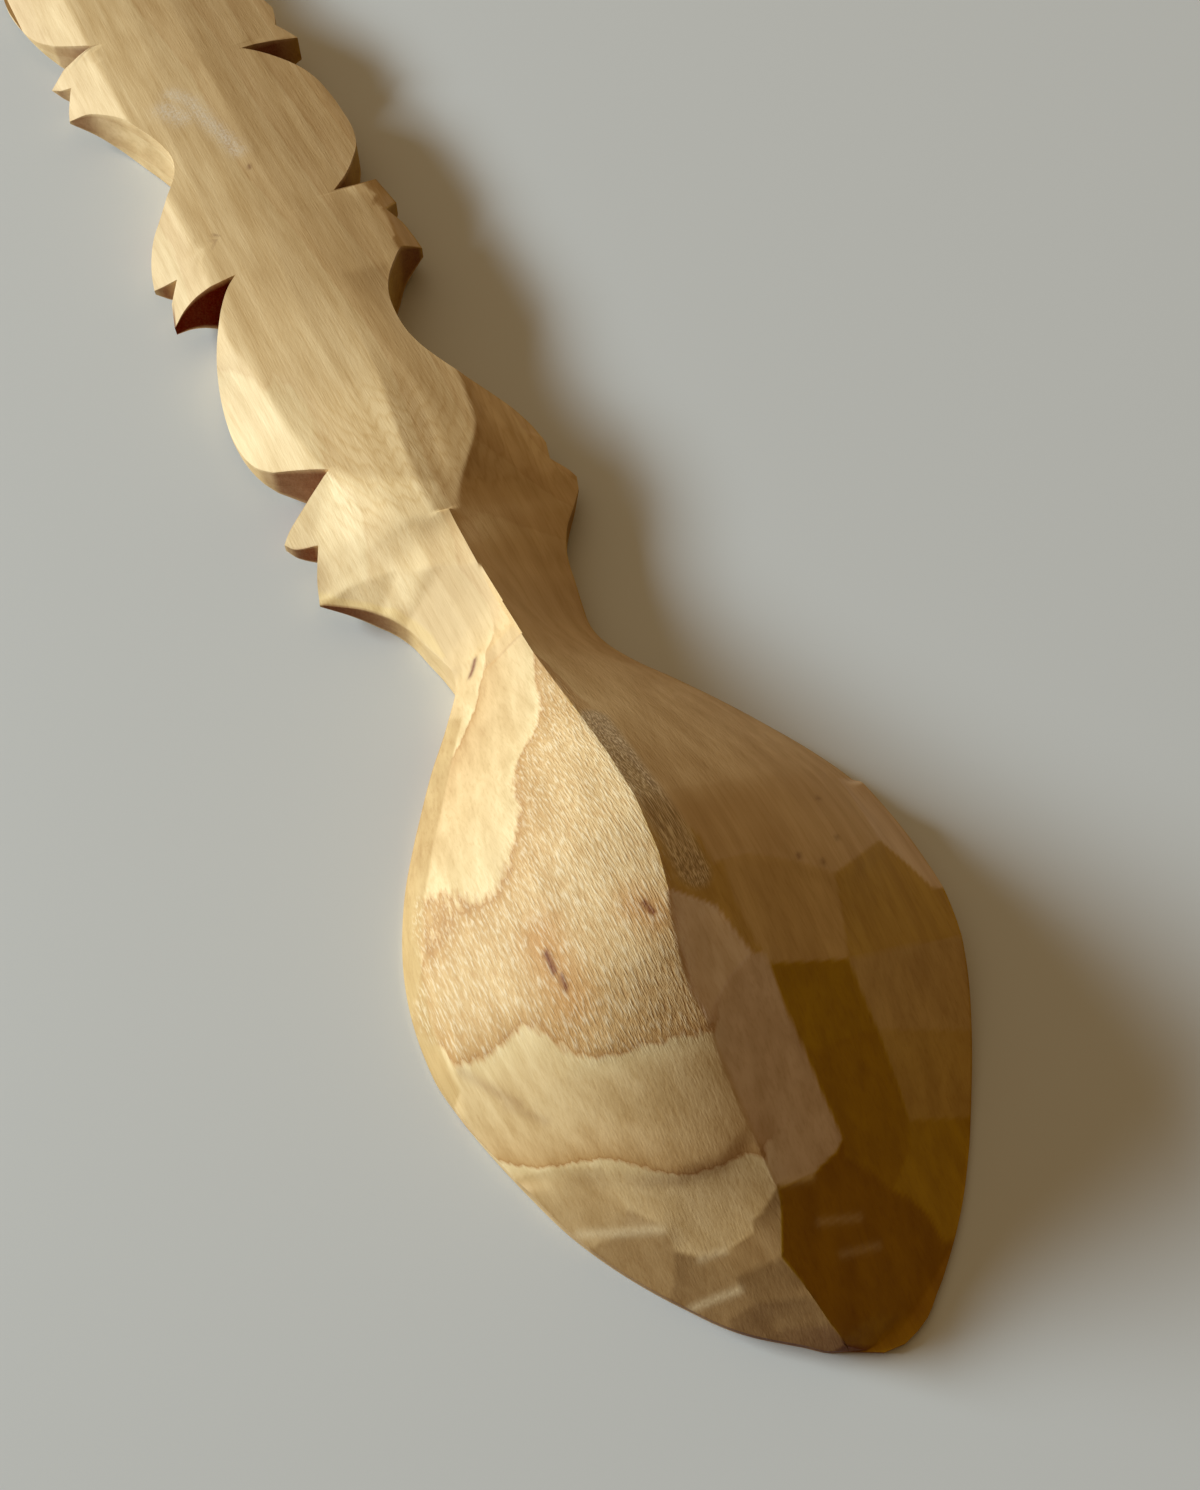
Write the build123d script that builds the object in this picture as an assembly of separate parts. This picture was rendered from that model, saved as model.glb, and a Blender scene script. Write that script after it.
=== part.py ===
"""Carved wooden love spoon, back upwards.

The whole spoon is cut from one length of pale wood: a pointed bowl with a sharp keel along its
back, a narrow roof shaped neck, and a flat handle whose two edges carry pairs of pointed teeth,
rounded lobes and long scallops. It lies on its front face, so z = 0 is the rim of the bowl and
the front of the handle. y runs from the bowl's tip to the end of the handle, and the origin is
below the middle of the length.
"""
from build123d import *
from math import sqrt
import os

os.makedirs("parts", exist_ok=True)

# Bowl, in millimetres. The outline is given at stations along the bowl, from tip to neck.
bowl_length = 82.0
bowl_half_width = 28.0
neck_half_width = 8.4
neck_lean = 1.1
bowl_station_shares = (0.046, 0.144, 0.266, 0.388, 0.51, 0.632, 0.754, 0.876, 0.937)
bowl_width_shares = (0.275, 0.571, 0.796, 0.943, 1.0, 0.95, 0.779, 0.54, 0.41)

# Hollow of the bowl: a round gouge cut, deepest at the widest place.
rim_width = 3.3
hollow_depth = 14.0
hollow_start = 5.0
hollow_end = 72.0
hollow_station_shares = (0.10, 0.26, 0.42, 0.56, 0.74, 0.89)
hollow_width_shares = (0.42, 0.77, 0.94, 1.0, 0.88, 0.58)

# Back of the bowl and neck. The keel stands highest over the middle of the bowl and leans to
# the left of the axis towards the tip, as the knife left it.
keel_height = 21.5
keel_lean = 4.6
neck_height = 13.2

# Handle, from the neck to its far end.
handle_thickness = 8.0
handle_crown = 0.4
flat_half_width = 11.5
edge_thickness = 3.2
plain_edge_height = 6.4
neck_to_node = 24.0
roof_length = 22.0
flat_taper = 16.0
bevel_fade = 20.0
node_pitch = 52.5
node_count = 4

# The front's edges are bevelled too, so that the teeth end in sharp points.
front_bevel_start = 94.0
front_flat_half_width = 12.0
front_bevel_rise = 2.2

# A node is a pair of teeth on each edge, with a small notch between the two points.
tooth_reach = 18.4
tooth_gap = 9.5
notch_depth = 3.1
notch_drop = 2.4

# Lobes are round and end in a sharp cut at each end, scallops are long hollow curves.
cut_half_width = 9.6
lower_cut_rise = 4.0
upper_cut_rise = 0.7
lobe_reach = 19.2
lobe_corner_shares = (0.66, 0.15)
lobe_side_shares = ((1.0, 0.40), (0.62, 0.71))
waist_half_width = 8.3
scallop_shares = ((0.54, 0.23), (0.0, 0.46), (0.27, 0.72), (0.58, 0.87))
neck_curve_shares = ((0.12, 0.52), (0.30, 0.73))

# Plain rounded end with the hole that such a spoon hangs by.
end_length = 22.0
hanging_hole_radius = 2.0

# Reach of cutting and trimming shapes past the surface that they cut.
overrun = 2.0

first_node = bowl_length + neck_to_node
last_node = first_node + node_pitch * (node_count - 1)
spoon_length = last_node + tooth_gap / 2 + end_length


def smooth(points, start, end):
    """Smooth curve through the points that leaves along start and arrives along end."""
    return Spline(*points, tangents=[start, end], tangent_scalars=(1, 1))


def neck_side(side):
    """Edge from the neck out to the lower tooth of the first node."""
    reach = tooth_reach - neck_half_width
    run = neck_to_node - tooth_gap / 2
    points = [(neck_lean + side * neck_half_width, bowl_length)]
    for across, along in neck_curve_shares:
        fading_lean = neck_lean * (1 - along)
        points.append(
            (fading_lean + side * (neck_half_width + across * reach), bowl_length + along * run)
        )
    points.append((side * tooth_reach, bowl_length + run))
    return [smooth(points, (0, 1), (side * 1, 0.6))]


def bowl_side(side):
    """Edge of the bowl from its tip to the neck."""
    points = [(0, 0)]
    for along, across in zip(bowl_station_shares, bowl_width_shares):
        points.append((side * across * bowl_half_width, along * bowl_length))
    points.append((neck_lean + side * neck_half_width, bowl_length))
    return [smooth(points, (side * 1, 0.25), (0, 1))]


def teeth(side, node_y):
    """Two points with the small notch between them."""
    lower = (side * tooth_reach, node_y - tooth_gap / 2)
    upper = (side * tooth_reach, node_y + tooth_gap / 2)
    notch = (side * (tooth_reach - notch_depth), upper[1] - notch_drop)
    return [Line(lower, notch), Line(notch, upper)]


def lobe(side, node_y):
    """Rounded leaf above a node, with its two sharp end cuts."""
    upper_tip = (side * tooth_reach, node_y + tooth_gap / 2)
    next_tip = (side * tooth_reach, node_y + node_pitch - tooth_gap / 2)
    low_cut = (side * cut_half_width, upper_tip[1] + lower_cut_rise)
    high_cut = (side * cut_half_width, next_tip[1] + upper_cut_rise)
    reach = lobe_reach - cut_half_width
    length = high_cut[1] - low_cut[1]
    corner = (
        side * (cut_half_width + lobe_corner_shares[0] * reach),
        low_cut[1] + lobe_corner_shares[1] * length,
    )
    curve = [corner]
    for across, along in lobe_side_shares:
        curve.append((side * (cut_half_width + across * reach), low_cut[1] + along * length))
    curve.append(high_cut)
    return [
        Line(upper_tip, low_cut),
        Line(low_cut, corner),
        smooth(curve, (side * 0.5, 1), (side * -0.6, 1)),
        Line(high_cut, next_tip),
    ]


def scallop(side, node_y):
    """Long hollow curve above a node, through the waist to the next tooth."""
    low = node_y + tooth_gap / 2
    run = node_pitch - tooth_gap
    reach = tooth_reach - waist_half_width
    points = [(side * tooth_reach, low)]
    for across, along in scallop_shares:
        points.append((side * (waist_half_width + across * reach), low + along * run))
    points.append((side * tooth_reach, low + run))
    return [smooth(points, (side * -0.2, 1), (side * 1, 0.9))]


def handle_end(side):
    """Half of the plain rounded end above the last node."""
    last_tip = (side * tooth_reach, last_node + tooth_gap / 2)
    cut = (side * cut_half_width, last_tip[1] + lower_cut_rise)
    shoulder = (side * cut_half_width, spoon_length - cut_half_width)
    crest = (0, spoon_length)
    return [
        Line(last_tip, cut),
        Line(cut, shoulder),
        TangentArc(shoulder, crest, tangent=(0, 1)),
    ]


def edge_of_spoon(side, first_bay):
    """One whole edge. Lobes and scallops take turns, starting with first_bay."""
    kinds = (first_bay, lobe if first_bay is scallop else scallop)
    edges = bowl_side(side) + neck_side(side)
    for index in range(node_count):
        node_y = first_node + index * node_pitch
        edges += teeth(side, node_y)
        if index < node_count - 1:
            edges += kinds[index % 2](side, node_y)
    return edges + handle_end(side)


def section(y, lean, keel_z, shoulder, strip, edge, right_corners=None):
    """Cross-section of the back at y. Shoulder, strip and edge are its corners as (x, z). Its right
    half has the same corners unless it is given its own."""
    left = [(-edge[0], -overrun), (-edge[0], edge[1]), (-strip[0], strip[1])]
    left.append((lean - shoulder[0], shoulder[1]))
    shoulder, strip, edge = right_corners or (shoulder, strip, edge)
    right = [(lean + shoulder[0], shoulder[1]), strip, edge, (edge[0], -overrun)]
    plane = Plane(origin=(0, y, 0), x_dir=(1, 0, 0), z_dir=(0, -1, 0))
    return plane * make_face(Polyline(*left, (lean, keel_z), *right, close=True))


# Stations along the bowl's back. After the share of the bowl's length come the shares of the
# keel's lean and height, then of the half width and keel height for each corner: the shoulder of
# the cheek, the strip above the rim and the outer edge, which the outline then trims.
bowl_back_shares = (
    (0.00, 0.95, 0.050, (0.14, 0.045), (0.22, 0.030), (0.40, -0.010)),
    (0.05, 0.97, 0.160, (0.15, 0.140), (0.26, 0.090), (0.42, -0.020)),
    (0.15, 0.98, 0.330, (0.27, 0.275), (0.50, 0.150), (0.70, -0.040)),
    (0.26, 1.03, 0.590, (0.38, 0.455), (0.70, 0.210), (0.90, -0.050)),
    (0.37, 1.00, 0.815, (0.44, 0.600), (0.83, 0.250), (1.02, -0.055)),
    (0.48, 0.74, 0.970, (0.48, 0.690), (0.90, 0.270), (1.09, -0.060)),
    (0.59, 0.28, 1.000, (0.49, 0.690), (0.885, 0.270), (1.08, -0.060)),
    (0.75, 0.17, 0.865, (0.38, 0.580), (0.70, 0.250), (0.90, -0.050)),
    (0.90, 0.17, 0.680, (0.23, 0.470), (0.40, 0.235), (0.60, 0.020)),
)

# The same along the roof between bowl and handle: the share of the roof's length and of the
# neck's height, then of the teeth's reach and neck's height for each corner.
roof_shares = (
    (0.00, 1.00, (0.22, 0.700), (0.40, 0.420), (0.58, 0.100)),
    (0.53, 0.77, (0.27, 0.600), (0.50, 0.400), (0.93, 0.110)),
    (1.00, 0.62, (0.04, 0.605), (0.50, 0.400), (1.11, 0.140)),
)

# The same along the handle, in millimetres: where the flat of the back is still narrow, and
# where it has its full width. The bevel beside it has one bend on the way to the edge. The left
# edge is bevelled all along, the right one only beside the roof, and stays nearly flat beyond.
flat_taper_share = 0.72
bevel_bend_shares = (0.5, 0.42)


def back_of_spoon():
    """Knife cut back of the whole spoon as one ruled body through its cross-sections."""
    sections = []
    for along, lean, rise, *corners in bowl_back_shares:
        sections.append(
            section(
                along * bowl_length - (overrun if along == 0 else 0),
                -lean * keel_lean,
                rise * keel_height,
                *[(x * bowl_half_width, z * keel_height) for x, z in corners],
            )
        )
    for along, rise, *corners in roof_shares:
        sections.append(
            section(
                bowl_length + along * roof_length,
                0,
                rise * neck_height,
                *[(x * tooth_reach, z * neck_height) for x, z in corners],
            )
        )
    wide = tooth_reach + overrun
    bevel_drop = handle_thickness - edge_thickness
    bevel_run = tooth_reach - flat_half_width
    crown = handle_thickness + handle_crown
    flat_start = bowl_length + roof_length
    plain_slope = (handle_thickness - plain_edge_height) / bevel_run
    plain_right = (
        (flat_half_width, handle_thickness),
        (tooth_reach, plain_edge_height),
        (wide, plain_edge_height - plain_slope * overrun),
    )
    for y, flat, right_corners in (
        (flat_start + flat_taper / 2, flat_taper_share * flat_half_width, None),
        (flat_start + flat_taper, flat_half_width, None),
        (flat_start + flat_taper + bevel_fade, flat_half_width, plain_right),
        (spoon_length + overrun, flat_half_width, plain_right),
    ):
        bend = (
            flat + bevel_bend_shares[0] * bevel_run,
            handle_thickness - bevel_bend_shares[1] * bevel_drop,
        )
        slope = (bend[1] - edge_thickness) / (tooth_reach - bend[0])
        edge = (wide, edge_thickness - slope * overrun)
        shoulder = (flat, handle_thickness)
        sections.append(section(y, 0, crown, shoulder, bend, edge, right_corners))
    return loft(sections, ruled=True)


def hollow_of_bowl():
    """Round gouge cut, turned about an axis below the rim so that it meets the rim as a leaf."""
    inner_half_width = bowl_half_width - rim_width
    radius = (inner_half_width**2 + hollow_depth**2) / (2 * hollow_depth)
    sink = radius - hollow_depth
    length = hollow_end - hollow_start
    points = [(hollow_start, sink)]
    for along, across in zip(hollow_station_shares, hollow_width_shares):
        half_width = across * inner_half_width
        points.append((hollow_start + along * length, sqrt(half_width**2 + sink**2)))
    points.append((hollow_end, sink))
    profile = Plane.YZ * make_face(
        [
            Spline(*points),
            Line((hollow_end, sink), (hollow_end, 0)),
            Line((hollow_end, 0), (hollow_start, 0)),
            Line((hollow_start, 0), (hollow_start, sink)),
        ]
    )
    return Pos(0, 0, -sink) * revolve(profile, axis=Axis.Y)


def front_bevel(side):
    """Long wedge that thins the handle's edge from the front."""
    reach = tooth_reach - front_flat_half_width
    wide = reach + overrun
    rise = front_bevel_rise * wide / reach
    wedge = Polyline(
        (side * front_flat_half_width, 0),
        (side * (front_flat_half_width + wide), rise),
        (side * (front_flat_half_width + wide), -overrun),
        (side * front_flat_half_width, -overrun),
        close=True,
    )
    plane = Plane(origin=(0, front_bevel_start, 0), x_dir=(1, 0, 0), z_dir=(0, -1, 0))
    return extrude(plane * make_face(wedge), amount=-(spoon_length - front_bevel_start))


def hanging_hole():
    """Round hole through the plain end of the handle."""
    depth = handle_thickness + handle_crown + 2 * overrun
    drill = Cylinder(hanging_hole_radius, depth, align=(Align.CENTER, Align.CENTER, Align.MIN))
    return Pos(0, spoon_length - cut_half_width, -overrun) * drill


outline = make_face(edge_of_spoon(-1, lobe) + edge_of_spoon(1, scallop))
blank = extrude(outline, amount=keel_height + overrun)
spoon = blank & back_of_spoon()
spoon = spoon - hollow_of_bowl() - hanging_hole()
spoon = spoon - front_bevel(-1) - front_bevel(1)

carved_spoon = Pos(0, -spoon_length / 2, 0) * spoon
carved_spoon.label = "carved_spoon"
export_step(carved_spoon, "parts/carved_spoon.step")

box = carved_spoon.bounding_box()
print("carved_spoon", "volume mm3", round(carved_spoon.volume), "size", box.size)
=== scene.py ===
import math

import bmesh
import bpy
import numpy as np
from mathutils import Matrix, Vector


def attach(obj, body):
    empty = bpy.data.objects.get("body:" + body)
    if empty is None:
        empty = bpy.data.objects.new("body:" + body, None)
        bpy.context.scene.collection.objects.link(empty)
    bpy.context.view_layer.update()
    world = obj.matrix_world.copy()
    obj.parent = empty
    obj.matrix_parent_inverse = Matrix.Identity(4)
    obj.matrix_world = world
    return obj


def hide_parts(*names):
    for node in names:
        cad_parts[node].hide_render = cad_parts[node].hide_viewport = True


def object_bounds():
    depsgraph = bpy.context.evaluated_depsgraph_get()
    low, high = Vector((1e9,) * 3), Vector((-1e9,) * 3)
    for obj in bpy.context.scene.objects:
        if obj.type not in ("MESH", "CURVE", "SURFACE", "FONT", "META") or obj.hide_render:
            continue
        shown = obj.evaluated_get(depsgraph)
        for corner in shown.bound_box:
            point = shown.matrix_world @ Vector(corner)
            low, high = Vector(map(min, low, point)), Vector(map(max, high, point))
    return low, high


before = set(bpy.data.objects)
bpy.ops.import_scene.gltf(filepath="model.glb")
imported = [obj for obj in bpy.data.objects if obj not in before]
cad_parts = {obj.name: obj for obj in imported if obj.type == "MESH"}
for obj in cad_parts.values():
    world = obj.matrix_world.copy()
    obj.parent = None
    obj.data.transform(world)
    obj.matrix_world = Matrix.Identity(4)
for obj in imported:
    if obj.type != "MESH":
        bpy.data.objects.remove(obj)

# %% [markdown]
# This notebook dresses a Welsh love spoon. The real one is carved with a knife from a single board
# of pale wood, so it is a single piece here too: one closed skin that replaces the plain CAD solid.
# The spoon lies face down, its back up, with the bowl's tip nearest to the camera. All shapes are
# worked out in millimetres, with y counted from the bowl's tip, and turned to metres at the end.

cad_box = [list(corner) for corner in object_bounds()]
MM = 0.001
TIP_Y = cad_box[0][1]
print("box of the CAD part in mm", np.round(np.array(cad_box) / MM, 2).tolist())


# %% [markdown]
# A carver's outline has slow curves between sharp nicks. Blender's own curves could hold it, but a
# curve through a table of values is easier to measure against the photograph, and it never swings
# past the values. The same curve gives every height that changes along the spoon.

# %% Curve through a table of values
def through(stations, values, at):
    """Cubic curve through the values. A station's slope is the mean of the slopes on its two sides,
    the nearer side counting more, and it is level where the values turn."""
    s = np.asarray(stations, float)
    v = np.asarray(values, float).reshape(len(s), -1)
    gap = np.diff(s)
    rise = np.diff(v, axis=0) / gap[:, None]
    slope = np.empty_like(v)
    slope[0], slope[-1] = rise[0], rise[-1]
    if len(s) > 2:
        near, far = gap[:-1, None], gap[1:, None]
        mean = (rise[:-1] * far + rise[1:] * near) / (near + far)
        limit = 2.5 * np.minimum(abs(rise[:-1]), abs(rise[1:]))
        slope[1:-1] = np.where(rise[:-1] * rise[1:] > 0, np.clip(mean, -limit, limit), 0)
    at = np.clip(np.asarray(at, float), s[0], s[-1])
    i = np.clip(np.searchsorted(s, at, side="right") - 1, 0, len(s) - 2)
    t = ((at - s[i]) / gap[i])[..., None]
    h = gap[i][..., None]
    out = (1 + t * t * (2 * t - 3)) * v[i] + t * t * (3 - 2 * t) * v[i + 1]
    out = out + t * (1 - t) ** 2 * h * slope[i] + t * t * (t - 1) * h * slope[i + 1]
    return out[..., 0] if out.shape[-1] == 1 else out


def step(low, high, at):
    """Smooth step: 0 below low, 1 above high, three times the square of the share of the way less
    twice its cube between."""
    t = np.clip((np.asarray(at, float) - low) / (high - low), 0, 1)
    return t * t * (3 - 2 * t)


print("half way up the step", step(0, 1, 0.5))

# %% Distances and rings in the plan
def gap_to(x, y, line):
    """Distance from the line through the places given: the least over its straight pieces of the
    distance to the nearest place on the piece."""
    line = np.array(line)[:, :2]
    gap = np.full(x.shape, np.inf)
    for start, end in zip(line[:-1], line[1:]):
        along = end - start
        share = np.clip(((x - start[0]) * along[0] + (y - start[1]) * along[1]) / (along @ along), 0, 1)
        gap = np.minimum(gap, np.hypot(x - start[0] - share * along[0], y - start[1] - share * along[1]))
    return gap


def inside(x, y, ring):
    """True inside the ring: a line from the place to the right crosses its sides an odd number of
    times."""
    odd = np.zeros(x.shape, bool)
    for (x1, y1), (x2, y2) in zip(ring, np.roll(ring, -1, axis=0)):
        if y1 != y2:
            crosses = (y1 > y) != (y2 > y)
            odd ^= crosses & (x < x1 + (y - y1) * (x2 - x1) / (y2 - y1))
    return odd


def ring_share(x, y, ring, soft):
    """1 inside the ring and 0 outside, by a smooth step over plus and minus soft at its line."""
    gap = gap_to(x, y, [*ring, ring[0]])
    return step(-soft, soft, np.where(inside(x, y, ring), gap, -gap))


square = np.array([(0, 0), (4, 0), (4, 4), (0, 4)])
shares = ring_share(np.array([2.0, 4.0, 6.0]), np.full(3, 2.0), square, 0.5)
print("share inside, on the line and outside", shares)

# %% [markdown]
# The edge is the spoon's face to the world: a leaf shaped bowl, a narrow neck, and a wavy handle
# nicked into pairs of teeth, which no two sides share. It could be cut out with Booleans. Here each
# side is a chain of smooth runs that end at sharp corners, so every nick keeps its own place. The
# photograph cuts the handle off, so the last bay, its teeth and the round end continue the rhythm.

# %% Edge of the spoon
# A point is (x, y) or (x, y, s), in mm from the bowl's tip. s is the place on the keel that the
# point is joined to, and y where it isn't given. A run starts where the one before it ends, and the
# first one at the keel's end.
keel_end = (-4.6, 1.75, 1.75)
left_runs = [
    [(-5.9, 2.3, 2.3), (-7.9, 3.8, 3.7), (-11.8, 6.8, 6.6), (-16.2, 11.8), (-19.7, 16.8),
     (-22.4, 21.8), (-24.3, 26.8), (-25.9, 31.8), (-27.2, 36.8), (-27.95, 41.8), (-27.7, 46.8),
     (-26.7, 51.8), (-24.9, 56.8), (-22.3, 61.8), (-19.5, 65.8), (-15, 71.8), (-10.9, 76.4),
     (-8.6, 79.4), (-7.7, 82), (-8, 84.7), (-8.7, 87.9), (-9.7, 91.9), (-11.6, 95.3), (-14.7, 98.5),
     (-17.4, 100.5)],
    [(-16.5, 103.3), (-14.6, 107.3)],
    [(-16.8, 108.5), (-18.1, 110.3)],
    [(-17, 111.3), (-14.2, 112.8), (-9.7, 115)],
    [(-12.6, 117.7), (-15.6, 120.4)],
    [(-16.7, 122.2), (-17.5, 124.6), (-17.9, 127.2), (-18, 130.3), (-17.8, 133.1), (-17.3, 136.1),
     (-16.5, 139.2), (-15.5, 142.1), (-14.3, 144.9, 144.8), (-13.1, 147.2, 147), (-11.4, 150.2, 150.1),
     (-10, 152.2, 152.3), (-8.4, 153.8, 154.3)],
    [(-11.4, 153.7, 155.7), (-12.9, 154, 156.9), (-14.4, 154.3, 158.5), (-16.1, 154.1, 160.6),
     (-18.4, 153.1, 163.1)],
    [(-17.6, 156.7, 163.4), (-15.4, 160, 163.8)],
    [(-17.1, 161, 164.2), (-18.6, 162.2, 164.7)],
    [(-18.1, 164.6, 166.1), (-17.1, 167.4, 168), (-15.8, 169.8), (-13.7, 172.2), (-10.9, 175.6),
     (-9, 179), (-8.4, 182.4), (-8.8, 185.5), (-9.7, 188.9), (-10.9, 192.3), (-12.2, 195.9),
     (-13.9, 199.4), (-16.2, 203), (-18.8, 205.7)],
    [(-17.9, 208.3), (-16.5, 211.1, 209.8)],
    [(-18, 213, 210.3), (-19.1, 215.2, 210.8)],
    [(-17.3, 215.9, 211.1), (-15, 216, 211.5), (-13.1, 215.5, 211.8), (-11.1, 215, 212.2)],
    [(-13.6, 218.8, 217), (-16, 222.6, 221.6)],
    [(-17.4, 226, 225.2), (-18.6, 230.2, 229.8), (-19.4, 235), (-19.8, 240.5), (-19.2, 246),
     (-17.4, 250.6), (-14.6, 254.6), (-9.8, 259.2, 259.3)],
    [(-14, 259.3, 260.9), (-18.4, 258.8, 262.7)],
    [(-17.3, 262.4, 264.1), (-15.3, 265.9)],
    [(-16.9, 266.9), (-18.4, 268.3)],
    [(-14, 270.2), (-9.6, 272.25)],
]
right_runs = [
    [(-2.4, 0.45, 2), (0, 0, 2.35), (2.7, 0.7, 2.9), (5.2, 2.3, 3.8), (8.2, 4.6, 5.6), (11, 7.1, 7.8),
     (14.9, 11.4, 11.7), (18.9, 16.8, 17), (22.2, 21.8), (25, 26.8), (26.9, 31.8), (27.8, 36.8),
     (27.95, 41.8), (27.5, 46.8), (26.4, 51.8), (24.3, 56.8), (21.6, 61.8), (19.2, 65.8), (15.3, 71.6),
     (11.9, 76.4), (10.4, 79.4), (9.9, 82.4), (10.4, 85.8), (11.1, 89.3), (12.1, 93.5), (13.8, 96.9),
     (16.4, 100.2), (18.2, 102.7)],
    [(18.9, 104.7)],
    [(18.2, 106.5), (16.9, 108.3)],
    [(17.6, 110.9)],
    [(17.3, 113.8), (16, 116.8), (14.4, 119.2), (11.8, 122.6), (10, 126.5), (8.6, 130.8), (8.1, 134.6),
     (8.3, 138.4), (9, 141.8), (10.4, 144.9), (12.2, 147.6), (14.1, 150), (18, 152.7)],
    [(17.6, 155.3), (16.6, 158), (15.5, 158.9)],
    [(16.8, 160.9, 160.4), (18.3, 162.9, 160.9)],
    [(16.7, 166, 161.4)],
    [(13.3, 165.5, 161.6), (10, 164.8, 161.9)],
    [(12.8, 167.9, 167), (15.2, 171.4), (17, 174.6), (18, 178), (18.4, 182), (18.4, 186),
     (18.2, 189.4), (17.6, 193.4), (16.2, 197), (14.2, 199.7), (12, 201.8), (9.5, 203.6)],
    [(14.4, 204.6), (19, 205.2)],
    [(17.9, 207.4), (16.8, 209.2)],
    [(17.6, 211.8), (18.2, 214.6)],
    [(17.2, 218.2), (15.2, 222.6), (12.4, 227.8), (10, 232.6), (8.6, 237), (8.2, 241), (8.7, 245),
     (10.4, 249.4), (13.4, 253.8), (18.3, 258.8)],
    [(17.2, 262.4), (15.3, 265.9)],
    [(16.9, 266.9), (18.4, 268.3)],
    [(14, 270.2), (9.6, 272.25)],
]
end_radius = 9.6
spoon_length = 290.25
end_middle = spoon_length - end_radius


def edge_runs(runs, side):
    """The runs as arrays of x, y, s, with the straight side and the quarter circle of the handle's
    end added, which is joined to the keel evenly along its arc."""
    full = []
    start = keel_end
    for run in runs:
        full.append(np.array([p if len(p) == 3 else (*p, p[1]) for p in (start, *run)], float))
        start = run[-1]
    full.append(np.array([full[-1][-1], (side * end_radius, end_middle, end_middle)]))
    turn = np.linspace(0, math.pi / 2, 13)
    full.append(np.stack([side * end_radius * np.cos(turn), end_middle + end_radius * np.sin(turn),
                          end_middle + end_radius * turn * 2 / math.pi], axis=1))
    return full


edges = {-1: edge_runs(left_runs, -1), 1: edge_runs(right_runs, 1)}


def edge_at(side, s):
    """Point of the edge that each place s on the keel is joined to, run by run."""
    out = np.zeros((len(s), 2))
    for run in edges[side]:
        on_run = (s >= run[0, 2] - 1e-9) & (s <= run[-1, 2] + 1e-9)
        out[on_run] = through(run[:, 2], run[:, :2], s[on_run])
    return out


print("smooth runs on the left and the right", len(edges[-1]), len(edges[1]))

# %% [markdown]
# The skin is a net of rows across the spoon. Every sharp corner of the edge gets a row of its own,
# or the nicks would be blunted. The rows are closest over the bowl, where the photograph shows most.

# %% Rows across the spoon
corners = np.unique(np.round([run[i, 2] for runs in edges.values() for run in runs for i in (0, -1)], 6))
row_gap = ([0, 84, 86, 124, 126, 291], [0.33, 0.33, 0.42, 0.42, 0.55, 0.55])
rows = [corners[:1]]
for low, high in zip(corners[:-1], corners[1:]):
    count = max(1, math.ceil((high - low) / np.interp((low + high) / 2, *row_gap)))
    rows.append(np.linspace(low, high, count + 1)[1:])
rows = np.concatenate(rows)
bowl_rows = int(np.searchsorted(rows, 84.0))
print("rows", len(rows), "of which over the bowl", bowl_rows)

# %% [markdown]
# The back of the bowl is a keel with two cheeks. On the real spoon the keel wanders, because each
# knife cut moved it a little. A lathe or a sphere could give a smooth bowl, but not this keel, so the
# keel's place and height and the edge's height are curves along the spoon, and each cheek falls from
# the one to the other by a law of its own.

# %% Keel and cheeks
keel_xy = [(-4.6, 1.75), (-5.4, 4.1), (-6.2, 8.0), (-7.0, 10.6), (-5.1, 14.3), (-4.8, 15.6), (-4.9, 16.9),
           (-5.0, 21.2), (-5.0, 27.4), (-5.0, 32.4), (-4.2, 36.6), (-2.8, 40.9), (-1.9, 44.5), (-1.1, 50.8),
           (-0.9, 56.4), (-0.8, 66), (-0.8, 75), (-0.3, 90), (0.6, 104), (0.0, 125), (0.0, 291)]
keel_z = ([1.75, 2.6, 4.1, 8, 12.3, 21.3, 30.3, 39.4, 48.4,
           54, 61.5, 68, 73.8, 82, 93.7, 104, 106, 291],
          [0.6, 2.2, 3.6, 5.4, 7.3, 12.7, 17.5, 20.9, 21.48,
           20.6, 18.6, 16.4, 14.7, 13.0, 10.6, 9.1, 9.1, 9.1])
edge_z = {
    -1: ([1.75, 5, 12, 21, 30, 39, 48, 61, 68, 74, 79, 84, 92],
         [0.6, 0.9, 1.2, 1.6, 1.9, 2.5, 2.8, 2.6, 2.9, 4.2, 5.4, 5.3, 4.9]),
    1: ([1.75, 5, 12, 30, 48, 61, 74, 79, 84, 89, 93],
        [0.6, 0.9, 1.2, 1.8, 2.0, 2.2, 2.9, 3.1, 2.8, 3.4, 3.7]),
}
cheek_power = {
    -1: ([2, 12, 21, 30, 39, 48, 61, 74, 82, 92], [1.4, 1.8, 2.15, 2.3, 2.1, 1.85, 1.6, 1.25, 1.0, 1.0]),
    1: ([2, 12, 21, 30, 39, 48, 61, 74, 82, 92], [1.3, 1.6, 2.2, 2.8, 3.4, 3.4, 3.0, 2.0, 1.2, 1.0]),
}
straight_share = {
    -1: ([2, 30, 48, 61, 74, 92], [0.3, 0.25, 0.22, 0.3, 0.4, 0.5]),
    1: ([2, 21, 39, 48, 61, 74, 92], [0.5, 0.55, 0.68, 0.72, 0.74, 0.7, 0.6]),
}
# The long cut along the left rim: where it is, where it starts as a share of the way out, its depth.
rim_cut = ([36, 38, 40, 44, 48, 57, 62, 66], [0.985, 0.95, 0.915, 0.865, 0.88, 0.915, 0.93, 0.95],
           [0, 0.8, 1.3, 1.8, 1.8, 1.5, 0.9, 0])


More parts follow.
